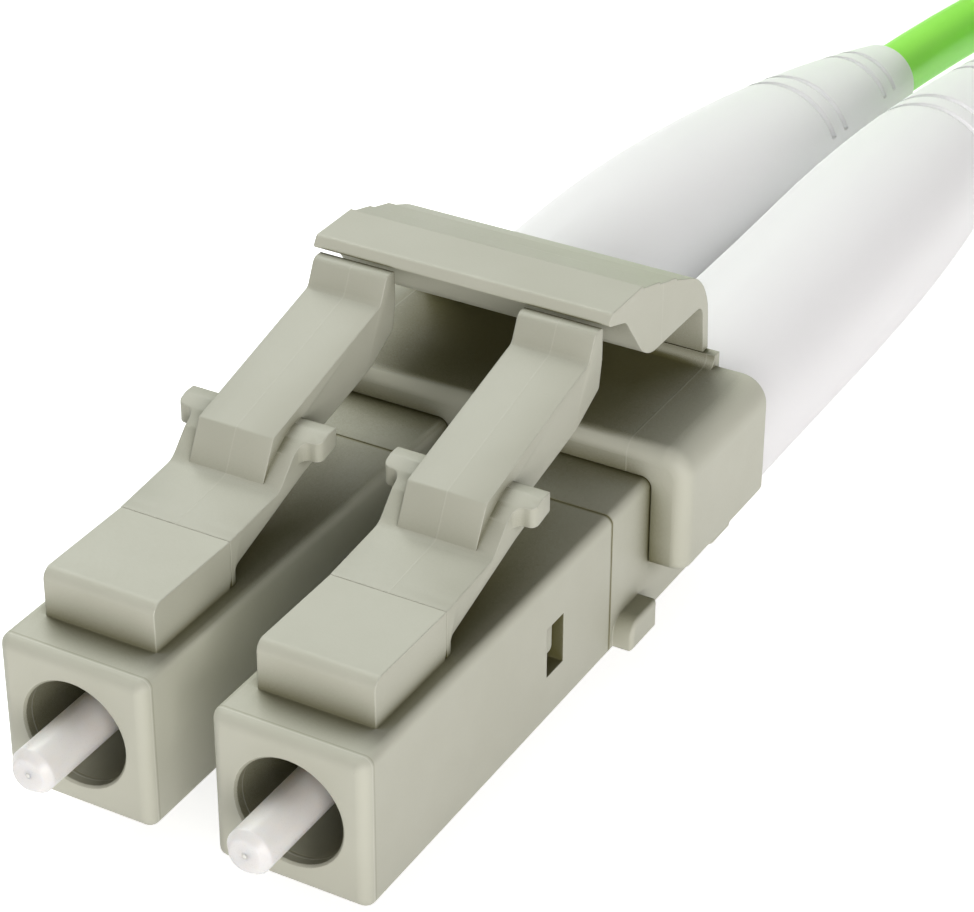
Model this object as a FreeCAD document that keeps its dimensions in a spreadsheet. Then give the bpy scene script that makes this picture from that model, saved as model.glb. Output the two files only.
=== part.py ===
import FreeCAD, Part
import math
import os
import Sketcher

"""Duplex LC fibre connector on a two-core pigtail, in millimetres.

X runs across the two plugs, Y from the ferrule tips back to the cord, Z up.
Each plug is drawn about its own fibre axis: y = 0 is the plug's front face and
z = 0 the axis. The placements put the two axes a pitch apart and high enough
for the leaning boots to clear the surface, and centre the length from the
ferrule tips to the boots' tails on Y = 0.
"""

SIZES = {
    # layout
    "pitch": 6.25,
    "axis_height": 2.985,
    "seam": 0.03,
    "slack": 0.05,
    # plug housing
    "plug_side": 4.4,
    "housing_length": 12.35,
    "edge_round": 0.25,
    "face_round": 0.34,
    "mouth_radius": 1.5,
    "mouth_chamfer": 0.06,
    "mouth_depth": 4.0,
    "shoulder_wall": 0.8,
    "cavity_radius": 1.5,
    "pocket_side": 3.3,
    "pocket_depth": 3.75,
    "window_set": 0.23,
    "window_length": 0.88,
    "window_height": 1.5,
    # latch, heights above the top of the plug
    "root_front": 1.35,
    "root_width": 3.3,
    "root_rise": 1.36,
    "root_tail": 4.58,
    "root_round": 0.3,
    "crease": 4.75,
    "web_base": 0.5,
    "step_front": 6.85,
    "step_run": 0.69,
    "step_base": 1.74,
    "step_top": 2.71,
    "arm_width": 2.28,
    "arm_end": 13.6,
    "arm_base": 2.4,
    "arm_base_run": 1.4,
    "plate_base": 1.55,
    "plate_drop": 0.2,
    "ear_front": 8.1,
    "ear_length": 0.85,
    "ear_span": 4.4,
    "ear_base": 1.98,
    "ear_lift": 0.17,
    "ear_top": 2.67,
    "ear_blend": 0.7273,
    "step_round": 0.12,
    "upstand_fillet": 0.2,
    "upstand_run": 0.56,
    "upstand_base": 4.1,
    "upstand_top": 4.77,
    "upstand_flat": 0.2,
    "tail_base": 3.03,
    "tail_notch": 0.8,
    "tail_slope": 0.15,
    "riser_lead": 0.25,
    "crest_run": 0.9,
    "crest_drop": 0.5,
    "brow_run": 0.5,
    "brow_drop": 0.2,
    "spine_lead": 0.3,
    "spine_under": 0.6,
    "under_run": 0.7,
    # ferrule and its holder
    "ferrule_radius": 0.6245,
    "ferrule_reach": 1.9,
    "ferrule_length": 6.5,
    "ferrule_chamfer": 0.17,
    "seat_draft": 0.025,
    "fibre_radius": 0.0625,
    "fibre_slack": 0.002,
    "buffer_radius": 0.45,
    "holder_front": 3.0,
    "cup_radius": 1.05,
    "collar_radius": 1.36,
    "collar_length": 1.0,
    "tail_radius": 0.72,
    "tail_gap": 0.5,
    "cup_lap": 0.5,
    "holder_bore": 0.5,
    "ferrule_travel": 1.0,
    # spring
    "wire_radius": 0.12,
    "spring_radius": 0.95,
    "spring_turns": 6.0,
    # rear body
    "seat_set": 1.3,
    "finger_set": 0.1,
    "finger_wall": 0.45,
    "finger_height": 2.2,
    "snap_gap": 0.04,
    "snap_recess": 0.15,
    "snap_length": 0.48,
    "snap_low": 0.2,
    "snap_high": 0.62,
    "snap_round": 0.15,
    "body_end": 19.3,
    "lug_set": 0.17,
    "lug_length": 1.45,
    "lug_reach": 0.6,
    "lug_low": 2.0,
    "lug_height": 0.85,
    "lug_round": 0.5,
    "tail_lug_front": 18.1,
    "tail_lug_length": 1.15,
    "tail_lug_reach": 0.3,
    "tail_lug_low": 1.8,
    "notch_front": 15.9,
    "notch_length": 1.6,
    "notch_depth": 0.3,
    "notch_low": 0.35,
    "notch_height": 1.0,
    "collar_outer": 1.95,
    "collar_end": 20.9,
    "post_radius": 0.8,
    "post_end": 24.2,
    "post_ring": 0.1,
    "post_lead": 0.9,
    "ring_pitch": 0.7,
    "ring_width": 0.3,
    "bore_radius": 0.55,
    # crimp
    "yarn_wall": 0.19,
    "sleeve_wall": 0.3,
    "sleeve_neck": 2.6,
    "sleeve_step": 0.25,
    "sleeve_crimp": 0.1,
    # boot
    "boot_radius": 2.75,
    "boot_front": 19.75,
    "boot_taper": 32.0,
    "boot_end": 48.0,
    "boot_tail_radius": 1.3,
    "boot_round": 0.4,
    "boot_tail_round": 0.2,
    "boot_ease": 0.25,
    "bend_length": 4.2,
    "left_lean": 4.5,
    "left_heading": 132.0,
    "right_lean": 1.3,
    "right_heading": -90.0,
    "cut_depth": 0.15,
    "cut_fall": 0.36,
    "cut_width": 0.32,
    "cut_angle": 130.0,
    "cut_first": 39.6,
    "cut_gap": 1.05,
    "cut_group": 4.9,
    # duplex clip, heights above the top of the plug
    "clip_front": 14.5,
    "clip_rear": 19.45,
    "clip_width": 12.9,
    "clip_top": 0.95,
    "clip_skirt": 2.7,
    "clip_corner": 0.78,
    "clip_front_round": 0.45,
    "clip_edge_round": 0.1,
    "clip_skirt_round": 0.25,
    "clip_grip": 0.25,
    "foot_width": 9.7,
    "foot_top": 1.28,
    "foot_fillet": 0.28,
    # trigger, heights above the top of the plug
    "trigger_width": 8.96,
    "latch_gap": 0.1,
    "lip_front": 13.5,
    "lip_wall": 0.3,
    "lip_rake": 0.2,
    "lip_round": 0.12,
    "leg_rear": 19.62,
    "leg_lean": 0.17,
    "leg_wall": 0.3,
    "nose_run": 1.0,
    "nose_drop": 0.33,
    "bump_front": 15.75,
    "bump_base": 2.86,
    "top_steps": 1.95,
    "step_pitch": 1.0,
    "step_notch": 0.07,
    "step_fall": 0.34,
    "corner_top": 3.63,
    "corner_round": 1.85,
    "bump_round": 1.2,
    "hollow_round": 0.5,
    "leg_fillet": 0.4,
    # cord and coil
    "cord_radius": 1.0,
    "jacket_slack": 0.03,
    "cord_gap": 0.1,
    "coil_middle": 12.0,
    "coil_layers": 4.0,
    "coil_turns": 3.125,
    "coil_x": -10.1,
    "coil_y": 57.5,
    "tie_wall": 0.5,
    "tie_width": 3.5,
    "tie_slack": 0.15,
    # how far a cut runs past a face, and how far a pad reaches into its neighbour
    "past": 0.5,
    "lap": 0.2,
}

# Places and sizes that follow from those above, kept on the sheet as formulas.
DERIVED = {
    "pocket_front": "housing_length - pocket_depth",
    "window_front": "pocket_front + window_set",
    "finger_front": "pocket_front + finger_set",
    "spring_seat": "pocket_front + seat_set",
    "tail_end": "spring_seat - ferrule_travel - tail_gap",
    "block_front": "housing_length + seam",
    "ear_fillet": "(ear_span - root_width) / 2 * ear_blend",
    "lug_front": "block_front + lug_set",
    "collar_front": "mouth_depth + shoulder_wall",
    "ferrule_rear": "ferrule_length - ferrule_reach",
}

SIDES = {"left": -1, "right": 1}

# The free cords' route points (x, y, z) from the boot tails to the coil.
LEFT_ROUTE = [
    (-2.07, 24.93, 2.03),
    (-1.57, 33.5, 1.56),
    (0.3, 40.3, 1.06),
    (3.0, 46.3, 1.0),
    (4.75, 51.8, 1.0),
    (5.05, 57.5, 1.0),
]
RIGHT_ROUTE = [
    (2.72, 24.95, 2.985),
    (2.62, 31.5, 2.88),
    (2.9, 38.5, 2.6),
    (3.9, 45.5, 2.72),
    (4.85, 51.5, 3.1),
    (5.05, 57.5, 3.1),
]

doc = FreeCAD.newDocument("lc_duplex_connector")


def fill_sheet():
    """Write every size and formula into the sheet, with its name as the alias."""
    sheet = doc.addObject("Spreadsheet::Sheet", "sizes")
    cells = {alias: str(size) for alias, size in SIZES.items()}
    cells.update({alias: f"={formula}" for alias, formula in DERIVED.items()})
    for row, alias in enumerate(cells, 1):
        sheet.set(f"A{row}", alias)
        sheet.setAlias(f"B{row}", alias)
    for row, content in enumerate(cells.values(), 1):
        sheet.set(f"B{row}", content)
    doc.recompute()


# ---------------------------------------------------------------- drawing helpers


def new_body(label, x="0", y="(sizes.ferrule_reach - sizes.boot_end) / 2",
             z="sizes.axis_height"):
    """Start a PartDesign body placed by expressions."""
    body = doc.addObject("PartDesign::Body", label)
    body.Label = label
    body.setExpression("Placement.Base.x", x)
    body.setExpression("Placement.Base.y", y)
    body.setExpression("Placement.Base.z", z)
    return body


def leg_body(side, piece):
    """Start a body on the fibre axis of the left or right plug."""
    return new_body(f"{side}_{piece}", x=f"{SIDES[side]} * sizes.pitch / 2")


def new_sketch(body, plane, name, offset=None):
    """Put a sketch on one of the body's origin planes, moved along its normal."""
    sketch = body.newObject("Sketcher::SketchObject", f"{body.Name}_{name}")
    support = [item for item in body.Origin.OriginFeatures if item.Role == plane][0]
    sketch.AttachmentSupport = [(support, "")]
    sketch.MapMode = "FlatFace"
    if offset:
        sketch.setExpression("AttachmentOffset.Base.z", offset)
    return sketch


def pin_point(sketch, geometry, end, across, up, tag):
    """Fix one end of a sketch line at two expressions from the sketch origin."""
    for kind, formula, axis in (("DistanceX", across, -2), ("DistanceY", up, -1)):
        value = float(sketch.evalExpression(formula))
        if abs(value) < 1e-9:
            sketch.addConstraint(Sketcher.Constraint("PointOnObject", geometry, end, axis))
            continue
        number = sketch.addConstraint(
            Sketcher.Constraint(kind, -1, 1, geometry, end, value)
        )
        sketch.renameConstraint(number, f"{tag}_{kind}")
        sketch.setExpression(f"Constraints.{tag}_{kind}", formula)


def outline(body, plane, name, corners, offset=None):
    """Closed outline of straight lines; each corner is a pair of expressions."""
    sketch = new_sketch(body, plane, name, offset)
    add_outline(sketch, corners, "p")
    return sketch


def add_outline(sketch, corners, tag):
    """Add one closed loop of straight lines to a sketch."""
    first = sketch.GeometryCount
    points = [
        FreeCAD.Vector(
            float(sketch.evalExpression(across)), float(sketch.evalExpression(up)), 0
        )
        for across, up in corners
    ]
    count = len(points)
    for index in range(count):
        start, stop = points[index], points[(index + 1) % count]
        sketch.addGeometry(Part.LineSegment(start, stop), False)
    for index in range(count):
        following = first + (index + 1) % count
        sketch.addConstraint(
            Sketcher.Constraint("Coincident", first + index, 2, following, 1)
        )
    for index, (across, up) in enumerate(corners):
        pin_point(sketch, first + index, 1, across, up, f"{tag}{index}")


def rectangle(low_across, low_up, high_across, high_up):
    """Corner expressions of a rectangle."""
    return [
        (low_across, low_up),
        (high_across, low_up),
        (high_across, high_up),
        (low_across, high_up),
    ]


def square(size):
    """Corner expressions of a square of one size about the axis."""
    half = f"{size} / 2"
    return rectangle(f"-{half}", f"-{half}", half, half)


def disc(body, plane, name, radius, across="0", up="0", offset=None):
    """Sketch of one circle."""
    sketch = new_sketch(body, plane, name, offset)
    centre = FreeCAD.Vector(
        float(sketch.evalExpression(across)), float(sketch.evalExpression(up)), 0
    )
    value = float(sketch.evalExpression(radius))
    sketch.addGeometry(Part.Circle(centre, FreeCAD.Vector(0, 0, 1), value), False)
    number = sketch.addConstraint(Sketcher.Constraint("Radius", 0, value))
    sketch.renameConstraint(number, "radius")
    sketch.setExpression("Constraints.radius", radius)
    pin_point(sketch, 0, 3, across, up, "centre")
    return sketch


def extrude(kind, sketch, length, symmetric=False, backwards=False):
    """Pad or pocket a sketch; a pad from an XZ sketch runs towards +Y."""
    body = sketch.getParentGeoFeatureGroup()
    feature = body.newObject(f"PartDesign::{kind}", f"{sketch.Name}_{kind.lower()}")
    feature.Profile = sketch
    feature.setExpression("Length", length)
    if symmetric:
        feature.SideType = "Symmetric"
    feature.Reversed = backwards
    sketch.Visibility = False
    return feature


def pad(sketch, length):
    """Pad an XZ sketch towards +Y."""
    return extrude("Pad", sketch, length, backwards=True)


def slab(sketch, width):
    """Pad a sketch both ways from its plane."""
    return extrude("Pad", sketch, width, symmetric=True)


def cut_back(sketch, length):
    """Cut an XZ sketch away towards +Y."""
    return extrude("Pocket", sketch, length)


def cut_across(sketch, width):
    """Cut a sketch away both ways from its plane."""
    return extrude("Pocket", sketch, width, symmetric=True)


def turned(kind, sketch, axis="H_Axis", angle=None):
    """Revolution or Groove of a sketch about one of its axes."""
    body = sketch.getParentGeoFeatureGroup()
    feature = body.newObject(f"PartDesign::{kind}", f"{sketch.Name}_{kind.lower()}")
    feature.Profile = sketch
    feature.ReferenceAxis = (sketch, [axis])
    if angle:
        feature.setExpression("Angle", angle)
        feature.Midplane = True
    sketch.Visibility = False
    return feature


def straight_along(edge, axis):
    """True for a straight edge that runs along the axis given as a Vector."""
    if len(edge.Vertexes) != 2:
        return False
    span = edge.Vertexes[1].Point - edge.Vertexes[0].Point
    return abs(span.Length - edge.Length) < 1e-6 and abs(span.dot(axis)) > 0.999 * span.Length


def near(edge, x=None, y=None, z=None):
    """True when the edge's middle has the given coordinates, in its body's frame."""
    middle = edge.CenterOfMass
    wanted = ((middle.x, x), (middle.y, y), (middle.z, z))
    return all(value is None or abs(have - value) < 0.02 for have, value in wanted)


def dress(kind, body, name, size, keep):
    """Fillet or chamfer the edges of the body's tip for which keep(edge) is true."""
    doc.recompute()
    base = body.Tip
    names = [f"Edge{n}" for n, edge in enumerate(base.Shape.Edges, 1) if keep(edge)]
    if not names:
        raise RuntimeError(f"{body.Label}: no edge for {name}")
    feature = body.newObject(f"PartDesign::{kind}", f"{body.Name}_{name}")
    feature.Base = (base, names)
    feature.setExpression("Radius" if kind == "Fillet" else "Size", size)
    doc.recompute()
    return feature


ALONG_X = FreeCAD.Vector(1, 0, 0)
ALONG_Y = FreeCAD.Vector(0, 1, 0)
ALONG_Z = FreeCAD.Vector(0, 0, 1)


def size_of(formula):
    """Number of an expression on the sheet's cells."""
    return float(doc.sizes.evalExpression(formula))


def above_plug(height):
    """Expression for a height given above the top of the plug."""
    return f"sizes.plug_side / 2 + {height}"


# ---------------------------------------------------------------- pieces of one plug


def plug_housing(side):
    """Square housing with the latch root, the mouth, the shoulder and two windows."""
    body = leg_body(side, "plug_housing")
    half = size_of("sizes.plug_side / 2")
    pad(outline(body, "XZ_Plane", "block", square("sizes.plug_side")), "sizes.housing_length")
    dress("Fillet", body, "long_edges", "sizes.edge_round",
          lambda edge: straight_along(edge, ALONG_Y))
    dress("Fillet", body, "front_edges", "sizes.face_round",
          lambda edge: near(edge, y=0))

    top = above_plug("sizes.root_rise")
    sunk = above_plug("-sizes.past")
    root = outline(body, "YZ_Plane", "root", [
        ("sizes.root_front", sunk),
        ("sizes.root_front", top),
        ("sizes.crease", top),
        ("sizes.crease", above_plug("sizes.web_base")),
        ("sizes.root_tail", above_plug("0")),
        ("sizes.root_tail", sunk),
    ])
    slab(root, "sizes.root_width")
    front, rise = size_of("sizes.root_front"), half + size_of("sizes.root_rise")
    dress("Fillet", body, "root_nose", "sizes.root_round",
          lambda edge: straight_along(edge, ALONG_X) and near(edge, y=front, z=rise))

    hole = "sizes.cup_radius + sizes.slack"
    inner_end = "sizes.pocket_front + sizes.lap"
    rim = "sizes.mouth_radius + sizes.mouth_chamfer"
    turned("Groove", outline(body, "YZ_Plane", "mouth", [
        ("-sizes.past", "0"),
        ("-sizes.past", rim),
        ("0", rim),
        ("sizes.mouth_chamfer", "sizes.mouth_radius"),
        ("sizes.mouth_depth", "sizes.mouth_radius"),
        ("sizes.mouth_depth", hole),
        ("sizes.collar_front", hole),
        ("sizes.collar_front", "sizes.cavity_radius"),
        (inner_end, "sizes.cavity_radius"),
        (inner_end, "0"),
    ]))
    pocket = outline(body, "XZ_Plane", "pocket", square("sizes.pocket_side"),
                     offset="-sizes.pocket_front")
    cut_back(pocket, "sizes.pocket_depth + sizes.past")
    window = outline(body, "YZ_Plane", "window", rectangle(
        "sizes.window_front", "-sizes.window_height / 2",
        "sizes.window_front + sizes.window_length", "sizes.window_height / 2"))
    cut_across(window, "sizes.plug_side + sizes.past")
    return body


def latch(side):
    """Sprung arm from the crease back: plate, two ears, raised spine and upstand."""
    body = leg_body(side, "latch")
    start = "sizes.crease + sizes.seam"
    ear_rear = "sizes.ear_front + sizes.ear_length"
    slab(outline(body, "YZ_Plane", "plate", [
        (start, above_plug("sizes.web_base")),
        ("sizes.ear_front", above_plug("sizes.plate_base")),
        (ear_rear, above_plug("sizes.plate_base + sizes.plate_drop")),
        (ear_rear, above_plug("sizes.ear_top")),
        (start, above_plug("sizes.ear_top")),
    ]), "sizes.root_width")
    slab(outline(body, "YZ_Plane", "ears", [
        ("sizes.ear_front", above_plug("sizes.ear_base")),
        (ear_rear, above_plug("sizes.ear_base + sizes.ear_lift")),
        (ear_rear, above_plug("sizes.ear_top")),
        ("sizes.ear_front", above_plug("sizes.ear_top")),
    ]), "sizes.ear_span")
    flank, front = size_of("sizes.root_width / 2"), size_of("sizes.ear_front")
    dress("Fillet", body, "ear_fillets", "sizes.ear_fillet",
          lambda edge: straight_along(edge, ALONG_Z)
          and abs(abs(edge.CenterOfMass.x) - flank) < 0.02 and near(edge, y=front))
    tip = size_of("sizes.ear_span / 2")
    dress("Fillet", body, "ear_tips", "sizes.ear_fillet * 0.4",
          lambda edge: straight_along(edge, ALONG_Z)
          and abs(abs(edge.CenterOfMass.x) - tip) < 0.001)
    cut_across(outline(body, "YZ_Plane", "riser", [
        ("sizes.crease - sizes.past", above_plug("sizes.root_rise")),
        (start, above_plug("sizes.root_rise")),
        ("sizes.step_front - sizes.riser_lead", above_plug("sizes.step_base")),
        ("sizes.ear_front - sizes.crest_run", above_plug("sizes.ear_top - sizes.crest_drop")),
        ("sizes.ear_front - sizes.brow_run", above_plug("sizes.ear_top - sizes.brow_drop")),
        ("sizes.ear_front", above_plug("sizes.ear_top")),
        ("sizes.ear_front", above_plug("sizes.ear_top + sizes.past")),
        ("sizes.crease - sizes.past", above_plug("sizes.ear_top + sizes.past")),
    ]), "sizes.plug_side * 2")

    upstand_front = "sizes.arm_end - sizes.upstand_run"
    step_top = "sizes.step_front + sizes.step_run"
    slab(outline(body, "YZ_Plane", "spine", [
        ("sizes.step_front", above_plug("sizes.step_base")),
        (step_top, above_plug("sizes.step_top")),
        (upstand_front, above_plug("sizes.upstand_base")),
        ("sizes.arm_end - sizes.upstand_flat", above_plug("sizes.upstand_top")),
        ("sizes.arm_end", above_plug("sizes.upstand_top")),
        ("sizes.arm_end", above_plug("sizes.tail_base + sizes.tail_notch")),
        ("sizes.arm_end - sizes.tail_slope", above_plug("sizes.tail_base")),
        ("sizes.arm_end - sizes.arm_base_run", above_plug("sizes.arm_base")),
        ("sizes.ear_front - sizes.under_run", above_plug("sizes.plate_base - sizes.plate_drop")),
        ("sizes.step_front - sizes.spine_lead",
         above_plug("sizes.step_base - sizes.spine_under")),
    ]), "sizes.arm_width")
    bends = (
        ("upstand_edge", "sizes.upstand_flat * 0.45", "sizes.arm_end", "sizes.upstand_top"),
        ("upstand_base", "sizes.upstand_fillet", upstand_front, "sizes.upstand_base"),
        ("step_edge", "sizes.step_round", step_top, "sizes.step_top"),
    )
    for name, radius, across, up in bends:
        place, level = size_of(across), size_of(above_plug(up))
        dress("Fillet", body, name, radius,
              lambda edge: straight_along(edge, ALONG_X) and near(edge, y=place, z=level))
    return body


def ferrule(side):
    """Zirconia ferrule, chamfered at the tip, bored for the bare fibre."""
    body = leg_body(side, "ferrule")
    tip = "-sizes.ferrule_reach"
    rear = "sizes.ferrule_rear"
    bore = "sizes.fibre_radius + sizes.fibre_slack"
    turned("Revolution", outline(body, "YZ_Plane", "profile", [
        (tip, bore),
        (tip, "sizes.ferrule_radius - sizes.ferrule_chamfer"),
        (f"{tip} + sizes.ferrule_chamfer * 1.2", "sizes.ferrule_radius"),
        ("sizes.holder_front", "sizes.ferrule_radius"),
        (rear, "sizes.ferrule_radius - sizes.seat_draft"),
        (rear, bore),
    ]))
    return body


def ferrule_holder(side):
    """Metal holder: cup pressed on the ferrule, hexagon collar and spring guide."""
    body = leg_body(side, "ferrule_holder")
    cup_end = "sizes.collar_front + sizes.cup_lap"
    turned("Revolution", outline(body, "YZ_Plane", "shell", [
        ("sizes.holder_front", "0"),
        ("sizes.holder_front", "sizes.cup_radius"),
        (cup_end, "sizes.cup_radius"),
        (cup_end, "sizes.tail_radius"),
        ("sizes.tail_end", "sizes.tail_radius"),
        ("sizes.tail_end", "0"),
    ]))
    hexagon = [
        (f"sizes.collar_radius * cos({60 * corner})", f"sizes.collar_radius * sin({60 * corner})")
        for corner in range(6)
    ]
    pad(outline(body, "XZ_Plane", "collar", hexagon, offset="-sizes.collar_front"),
        "sizes.collar_length")
    turned("Groove", outline(body, "YZ_Plane", "hollow", [
        ("sizes.holder_front", "0"),
        ("sizes.holder_front", "sizes.ferrule_radius"),
        ("sizes.ferrule_rear", "sizes.ferrule_radius - sizes.seat_draft"),
        ("sizes.ferrule_rear", "sizes.holder_bore"),
        ("sizes.tail_end", "sizes.holder_bore"),
        ("sizes.tail_end", "0"),
    ]))
    return body


def ferrule_spring(side):
    """Compression spring between the holder's collar and the rear body."""
    body = leg_body(side, "ferrule_spring")
    front = "sizes.collar_front + sizes.collar_length + sizes.wire_radius + sizes.slack"
    section = disc(body, "YZ_Plane", "wire", "sizes.wire_radius",
                   across=front, up="sizes.spring_radius")
    coil = body.newObject("PartDesign::AdditiveHelix", f"{body.Name}_coil")
    coil.Profile = section
    coil.ReferenceAxis = (section, ["H_Axis"])
    coil.Mode = "height-turns-growth"
    coil.setExpression("Turns", "sizes.spring_turns")
    coil.setExpression(
        "Height", f"sizes.spring_seat - sizes.wire_radius - sizes.slack - ({front})")
    section.Visibility = False
    return body


def fibre(side):
    """Bare fibre in the ferrule and its buffer back through the crimp post."""
    body = leg_body(side, "fibre")
    seat = "sizes.ferrule_rear + sizes.slack"
    rear = "sizes.post_end - sizes.ferrule_travel - sizes.lap"
    turned("Revolution", outline(body, "YZ_Plane", "profile", [
        ("-sizes.ferrule_reach", "0"),
        ("-sizes.ferrule_reach", "sizes.fibre_radius"),
        (seat, "sizes.fibre_radius"),
        (seat, "sizes.buffer_radius"),
        (rear, "sizes.buffer_radius"),
        (rear, "0"),
    ]))
    return body


def rear_body(side):
    """Rear moulding: snap fingers, block with side lugs, collar and crimp post."""
    body = leg_body(side, "rear_body")
    half = "sizes.plug_side / 2"
    block = outline(body, "XZ_Plane", "block", square("sizes.plug_side"),
                    offset="-sizes.block_front")
    pad(block, "sizes.body_end - sizes.block_front")
    dress("Fillet", body, "long_edges", "sizes.edge_round",
          lambda edge: straight_along(edge, ALONG_Y))
    insert = outline(body, "XZ_Plane", "insert",
                     square("(sizes.pocket_side - 2 * sizes.slack)"),
                     offset="-sizes.spring_seat")
    pad(insert, "sizes.block_front - sizes.spring_seat + sizes.lap")
    lugs(body, half)
    fingers(body)

    turned("Revolution", outline(body, "YZ_Plane", "post", [
        ("sizes.body_end - sizes.lap", "0"),
        ("sizes.body_end - sizes.lap", "sizes.collar_outer"),
        ("sizes.collar_end", "sizes.collar_outer"),
        ("sizes.collar_end", "sizes.post_radius"),
        ("sizes.post_end - sizes.post_ring", "sizes.post_radius"),
        ("sizes.post_end", "sizes.post_radius - sizes.post_ring"),
        ("sizes.post_end", "0"),
    ]))
    for ring in range(4):
        start = f"sizes.collar_end + ({ring} + sizes.post_lead) * sizes.ring_pitch"
        turned("Groove", outline(body, "YZ_Plane", f"ring_{ring}", rectangle(
            start, "sizes.post_radius - sizes.post_ring",
            f"{start} + sizes.ring_width", "sizes.post_radius + sizes.lap")))
    cut_back(disc(body, "XZ_Plane", "bore", "sizes.bore_radius"),
             "sizes.post_end + sizes.past")
    return body


def lugs(body, half):
    """Two pairs of low side lugs and the notches that the duplex clip grips."""
    pairs = (("front", "lug_front", "lug_length", "lug_reach", "lug_low"),
             ("tail", "tail_lug_front", "tail_lug_length", "tail_lug_reach", "tail_lug_low"))
    for name, start, length, reach, low in pairs:
        lug = outline(body, "YZ_Plane", f"{name}_lug", rectangle(
            f"sizes.{start}", f"-sizes.{low}",
            f"sizes.{start} + sizes.{length}", f"sizes.lug_height - sizes.{low}"))
        slab(lug, f"sizes.plug_side + 2 * sizes.{reach}")
        side, nose = size_of(f"{half} + sizes.{reach}"), size_of(f"sizes.{start}")
        top = size_of(f"sizes.lug_height - sizes.{low}")
        dress("Fillet", body, f"{name}_lug_nose", "sizes.lug_round",
              lambda edge: straight_along(edge, ALONG_X) and near(edge, y=nose, z=top))
        dress("Fillet", body, f"{name}_lug_edges", "sizes.edge_round / 2",
              lambda edge: abs(abs(edge.CenterOfMass.x) - side) < 0.001)
    for hand, sign in (("port", "-"), ("starboard", "")):
        notch = outline(body, "XZ_Plane", f"notch_{hand}", rectangle(
            f"{sign}({half} - sizes.notch_depth)", "sizes.notch_low",
            f"{sign}({half} + sizes.past)", "sizes.notch_low + sizes.notch_height"),
            offset="-sizes.notch_front")
        cut_back(notch, "sizes.notch_length")


def fingers(body):
    """Snap fingers that reach forward into the housing's side windows."""
    outer = "sizes.pocket_side / 2 - sizes.slack"
    window = "sizes.window_front + sizes.snap_gap"
    for hand, sign in (("port", "-"), ("starboard", "")):
        finger = outline(body, "XZ_Plane", f"finger_{hand}", rectangle(
            f"{sign}({outer} - sizes.finger_wall)", "-sizes.finger_height / 2",
            f"{sign}({outer})", "sizes.finger_height / 2"),
            offset="-sizes.finger_front")
        pad(finger, "sizes.spring_seat - sizes.finger_front + sizes.lap")
        snap = outline(body, "XZ_Plane", f"snap_{hand}", rectangle(
            f"{sign}({outer} - sizes.lap)", "-sizes.snap_low",
            f"{sign}(sizes.plug_side / 2 - sizes.snap_recess)", "sizes.snap_high"),
            offset=f"-({window})")
        pad(snap, "sizes.snap_length")
    rear, low = size_of(f"{window} + sizes.snap_length"), size_of("-sizes.snap_low")
    dress("Fillet", body, "snap_edges", "sizes.snap_round",
          lambda edge: straight_along(edge, ALONG_X) and near(edge, y=rear, z=low))


def yarn(side):
    """Strength yarn folded over the crimp post."""
    body = leg_body(side, "strength_yarn")
    turned("Revolution", outline(body, "YZ_Plane", "tube", rectangle(
        "sizes.collar_end + 2 * sizes.slack", "sizes.post_radius",
        "sizes.post_end", "sizes.post_radius + sizes.yarn_wall")))
    return body


def crimp_sleeve(side):
    """Metal sleeve crimped over the yarn, with a neck over the cord's jacket."""
    body = leg_body(side, "crimp_sleeve")
    front = "sizes.collar_end + sizes.slack"
    wide = "sizes.post_radius + sizes.yarn_wall + sizes.jacket_slack"
    narrow = "sizes.cord_radius + sizes.jacket_slack"
    step = "sizes.post_end + sizes.sleeve_step"
    rear = "sizes.post_end + sizes.sleeve_neck"
    turned("Revolution", outline(body, "YZ_Plane", "tube", [
        (front, wide),
        (front, f"{narrow} + sizes.sleeve_wall + sizes.sleeve_crimp"),
        (step, f"{narrow} + sizes.sleeve_wall + sizes.sleeve_crimp"),
        (f"{step} + 2 * sizes.sleeve_crimp", f"{narrow} + sizes.sleeve_wall"),
        (rear, f"{narrow} + sizes.sleeve_wall"),
        (rear, narrow),
        (step, narrow),
        (step, wide),
    ]))
    return body


BEND_START = "(sizes.boot_taper - sizes.bend_length)"
TAIL_LENGTH = "(sizes.boot_end - sizes.boot_taper)"


def lean_of(side):
    """Expressions for a boot's bend: its radius, and the turn that faces its lean."""
    radius = f"(sizes.bend_length / (sizes.{side}_lean * pi / 180))"
    turn = "placement(vector(0; 0; 0); rotation(vector(1; 0; 0); {}sizes.{}_heading))"
    return radius, turn.format("", side), turn.format("-", side)


def tail_sketch(body, side, name, corners=None):
    """YZ sketch at the start of a leaning tail, with its H axis along the tail."""
    radius, face, back = lean_of(side)
    along = f"{BEND_START} + {radius} * sin(sizes.{side}_lean)"
    aside = f"{radius} * (1 - cos(sizes.{side}_lean))"
    tilt = (f"placement(vector({along}; {aside}; 0);"
            f" rotation(vector(0; 0; 1); sizes.{side}_lean))")
    sketch = new_sketch(body, "YZ_Plane", name)
    sketch.setExpression("AttachmentOffset", f"{face} * {tilt} * {back}")
    if corners:
        add_outline(sketch, corners, "p")
    return sketch


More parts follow.
